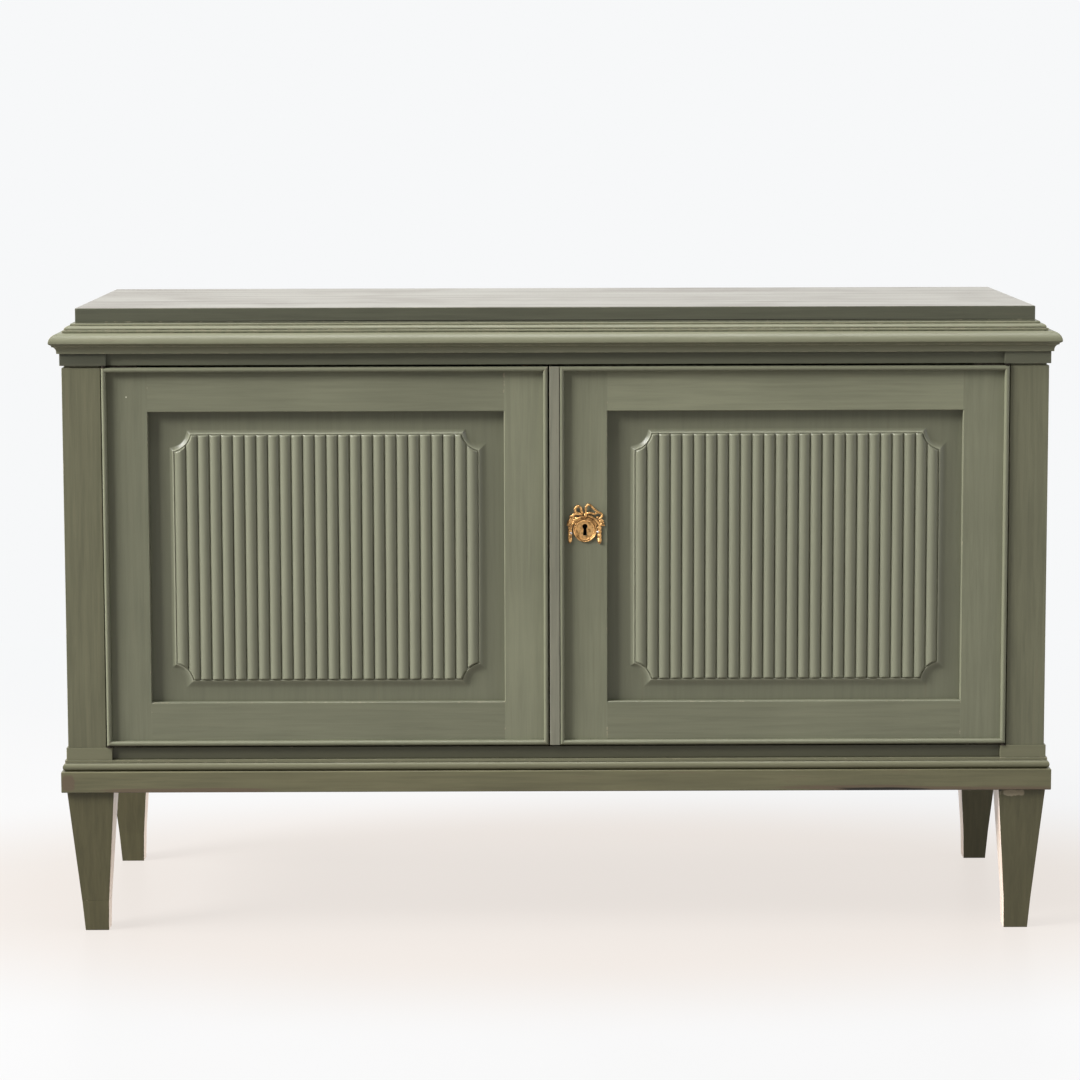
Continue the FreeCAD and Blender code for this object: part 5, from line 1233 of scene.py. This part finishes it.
def make_floor():
    """A wide pale floor that fades into the surround; to the eye most of its light is its own, tinted warm
    near the sideboard as a painted shade under it.
    """
    material, nodes, shader, place = new_material("pale_floor")
    shade = nodes.noise(place, 2.0, 3.0)
    seen = nodes.mix(nodes.remap(shade, 0.3, 0.7), FLOOR_SEEN, FLOOR_SEEN_DARK)
    shown = nodes.math("MAXIMUM", *seen_rays(nodes))
    nodes.set(shader, {"Base Color": nodes.mix(shown, FLOOR_BOUNCE, seen), "Roughness": 0.35})
    distance = nodes.vector("LENGTH", nodes.stretch(place, FLOOR_STRETCH))["Value"]
    far = nodes.remap(distance, *FLOOR_FADE, FLOOR_OWN_SHARE, 1.0)
    # Painted shade: the floor's own light is tinted warm near the sideboard
    own = nodes.mix(nodes.remap(distance, *FLOOR_SHADE_TINT_REACH), FLOOR_SHADE_TINT_NEAR, BACKDROP)
    pale = nodes.add("ShaderNodeEmission", {"Color": own, "Strength": 1.0})
    blend = nodes.add("ShaderNodeMixShader", {
        0: nodes.times(far, shown), 1: shader.outputs["BSDF"], 2: pale.outputs["Emission"],
    })
    nodes.set(material.node_tree.nodes["Material Output"], {"Surface": blend.outputs["Shader"]})
    shell = Shell()
    corners = ((-1.0, -1.0, 0.0), (1.0, -1.0, 0.0), (1.0, 1.0, 0.0), (-1.0, 1.0, 0.0))
    shell.points = [FLOOR_HALF * np.array(corners)]
    shell.faces = [[0, 1, 2, 3]]
    floor = shell.make("floor")
    floor.data.materials.append(material)


def away(azimuth, elevation):
    """The direction from the sideboard at an angle round from its front and an angle up."""
    return Vector((math.sin(azimuth) * math.cos(elevation), -math.cos(azimuth) * math.cos(elevation),
                   math.sin(elevation)))


def lamp(name, azimuth, elevation, distance, width, height, level, mirrored):
    """A soft lamp aimed at the sideboard: its energy is its level times the square of pi times its distance.

    Level 1 shows a colour as written on a face square to the lamp.
    """
    light = bpy.data.lights.new(name, "AREA")
    light.shape = "RECTANGLE"
    light.size = width
    light.size_y = height
    light.energy = level * math.pi ** 2 * distance ** 2
    piece = bpy.data.objects.new(name, light)
    piece.visible_glossy = mirrored
    bpy.context.scene.collection.objects.link(piece)
    outward = away(math.radians(azimuth), math.radians(elevation))
    piece.location = Vector((0.0, 0.0, FRAME_CENTRE_Z)) + outward * distance
    piece.rotation_euler = outward.to_track_quat("Z", "Y").to_euler()


def make_camera():
    """The photograph's view: a long lens a little above the top, turned by its yaw, then pitch, then roll."""
    camera = bpy.data.cameras.new("camera")
    camera.sensor_width = 36.0
    camera.lens = CAMERA_LENS
    camera.clip_end = 200.0
    piece = bpy.data.objects.new("camera", camera)
    bpy.context.scene.collection.objects.link(piece)
    forward = away(math.pi - CAMERA_YAW, CAMERA_PITCH)
    right = Vector((math.cos(CAMERA_YAW), -math.sin(CAMERA_YAW), 0.0))
    up = right.cross(forward)
    level_right = right * math.cos(CAMERA_ROLL) + up * math.sin(CAMERA_ROLL)
    level_up = up * math.cos(CAMERA_ROLL) - right * math.sin(CAMERA_ROLL)
    turn = Matrix((level_right, level_up, -forward)).transposed()
    piece.matrix_world = Matrix.Translation(CAMERA_PLACE) @ turn.to_4x4()
    bpy.context.scene.camera = piece


make_world()
make_floor()
for settings in LAMPS:
    lamp(*settings)
make_camera()
bpy.context.scene.view_settings.view_transform = "Standard"
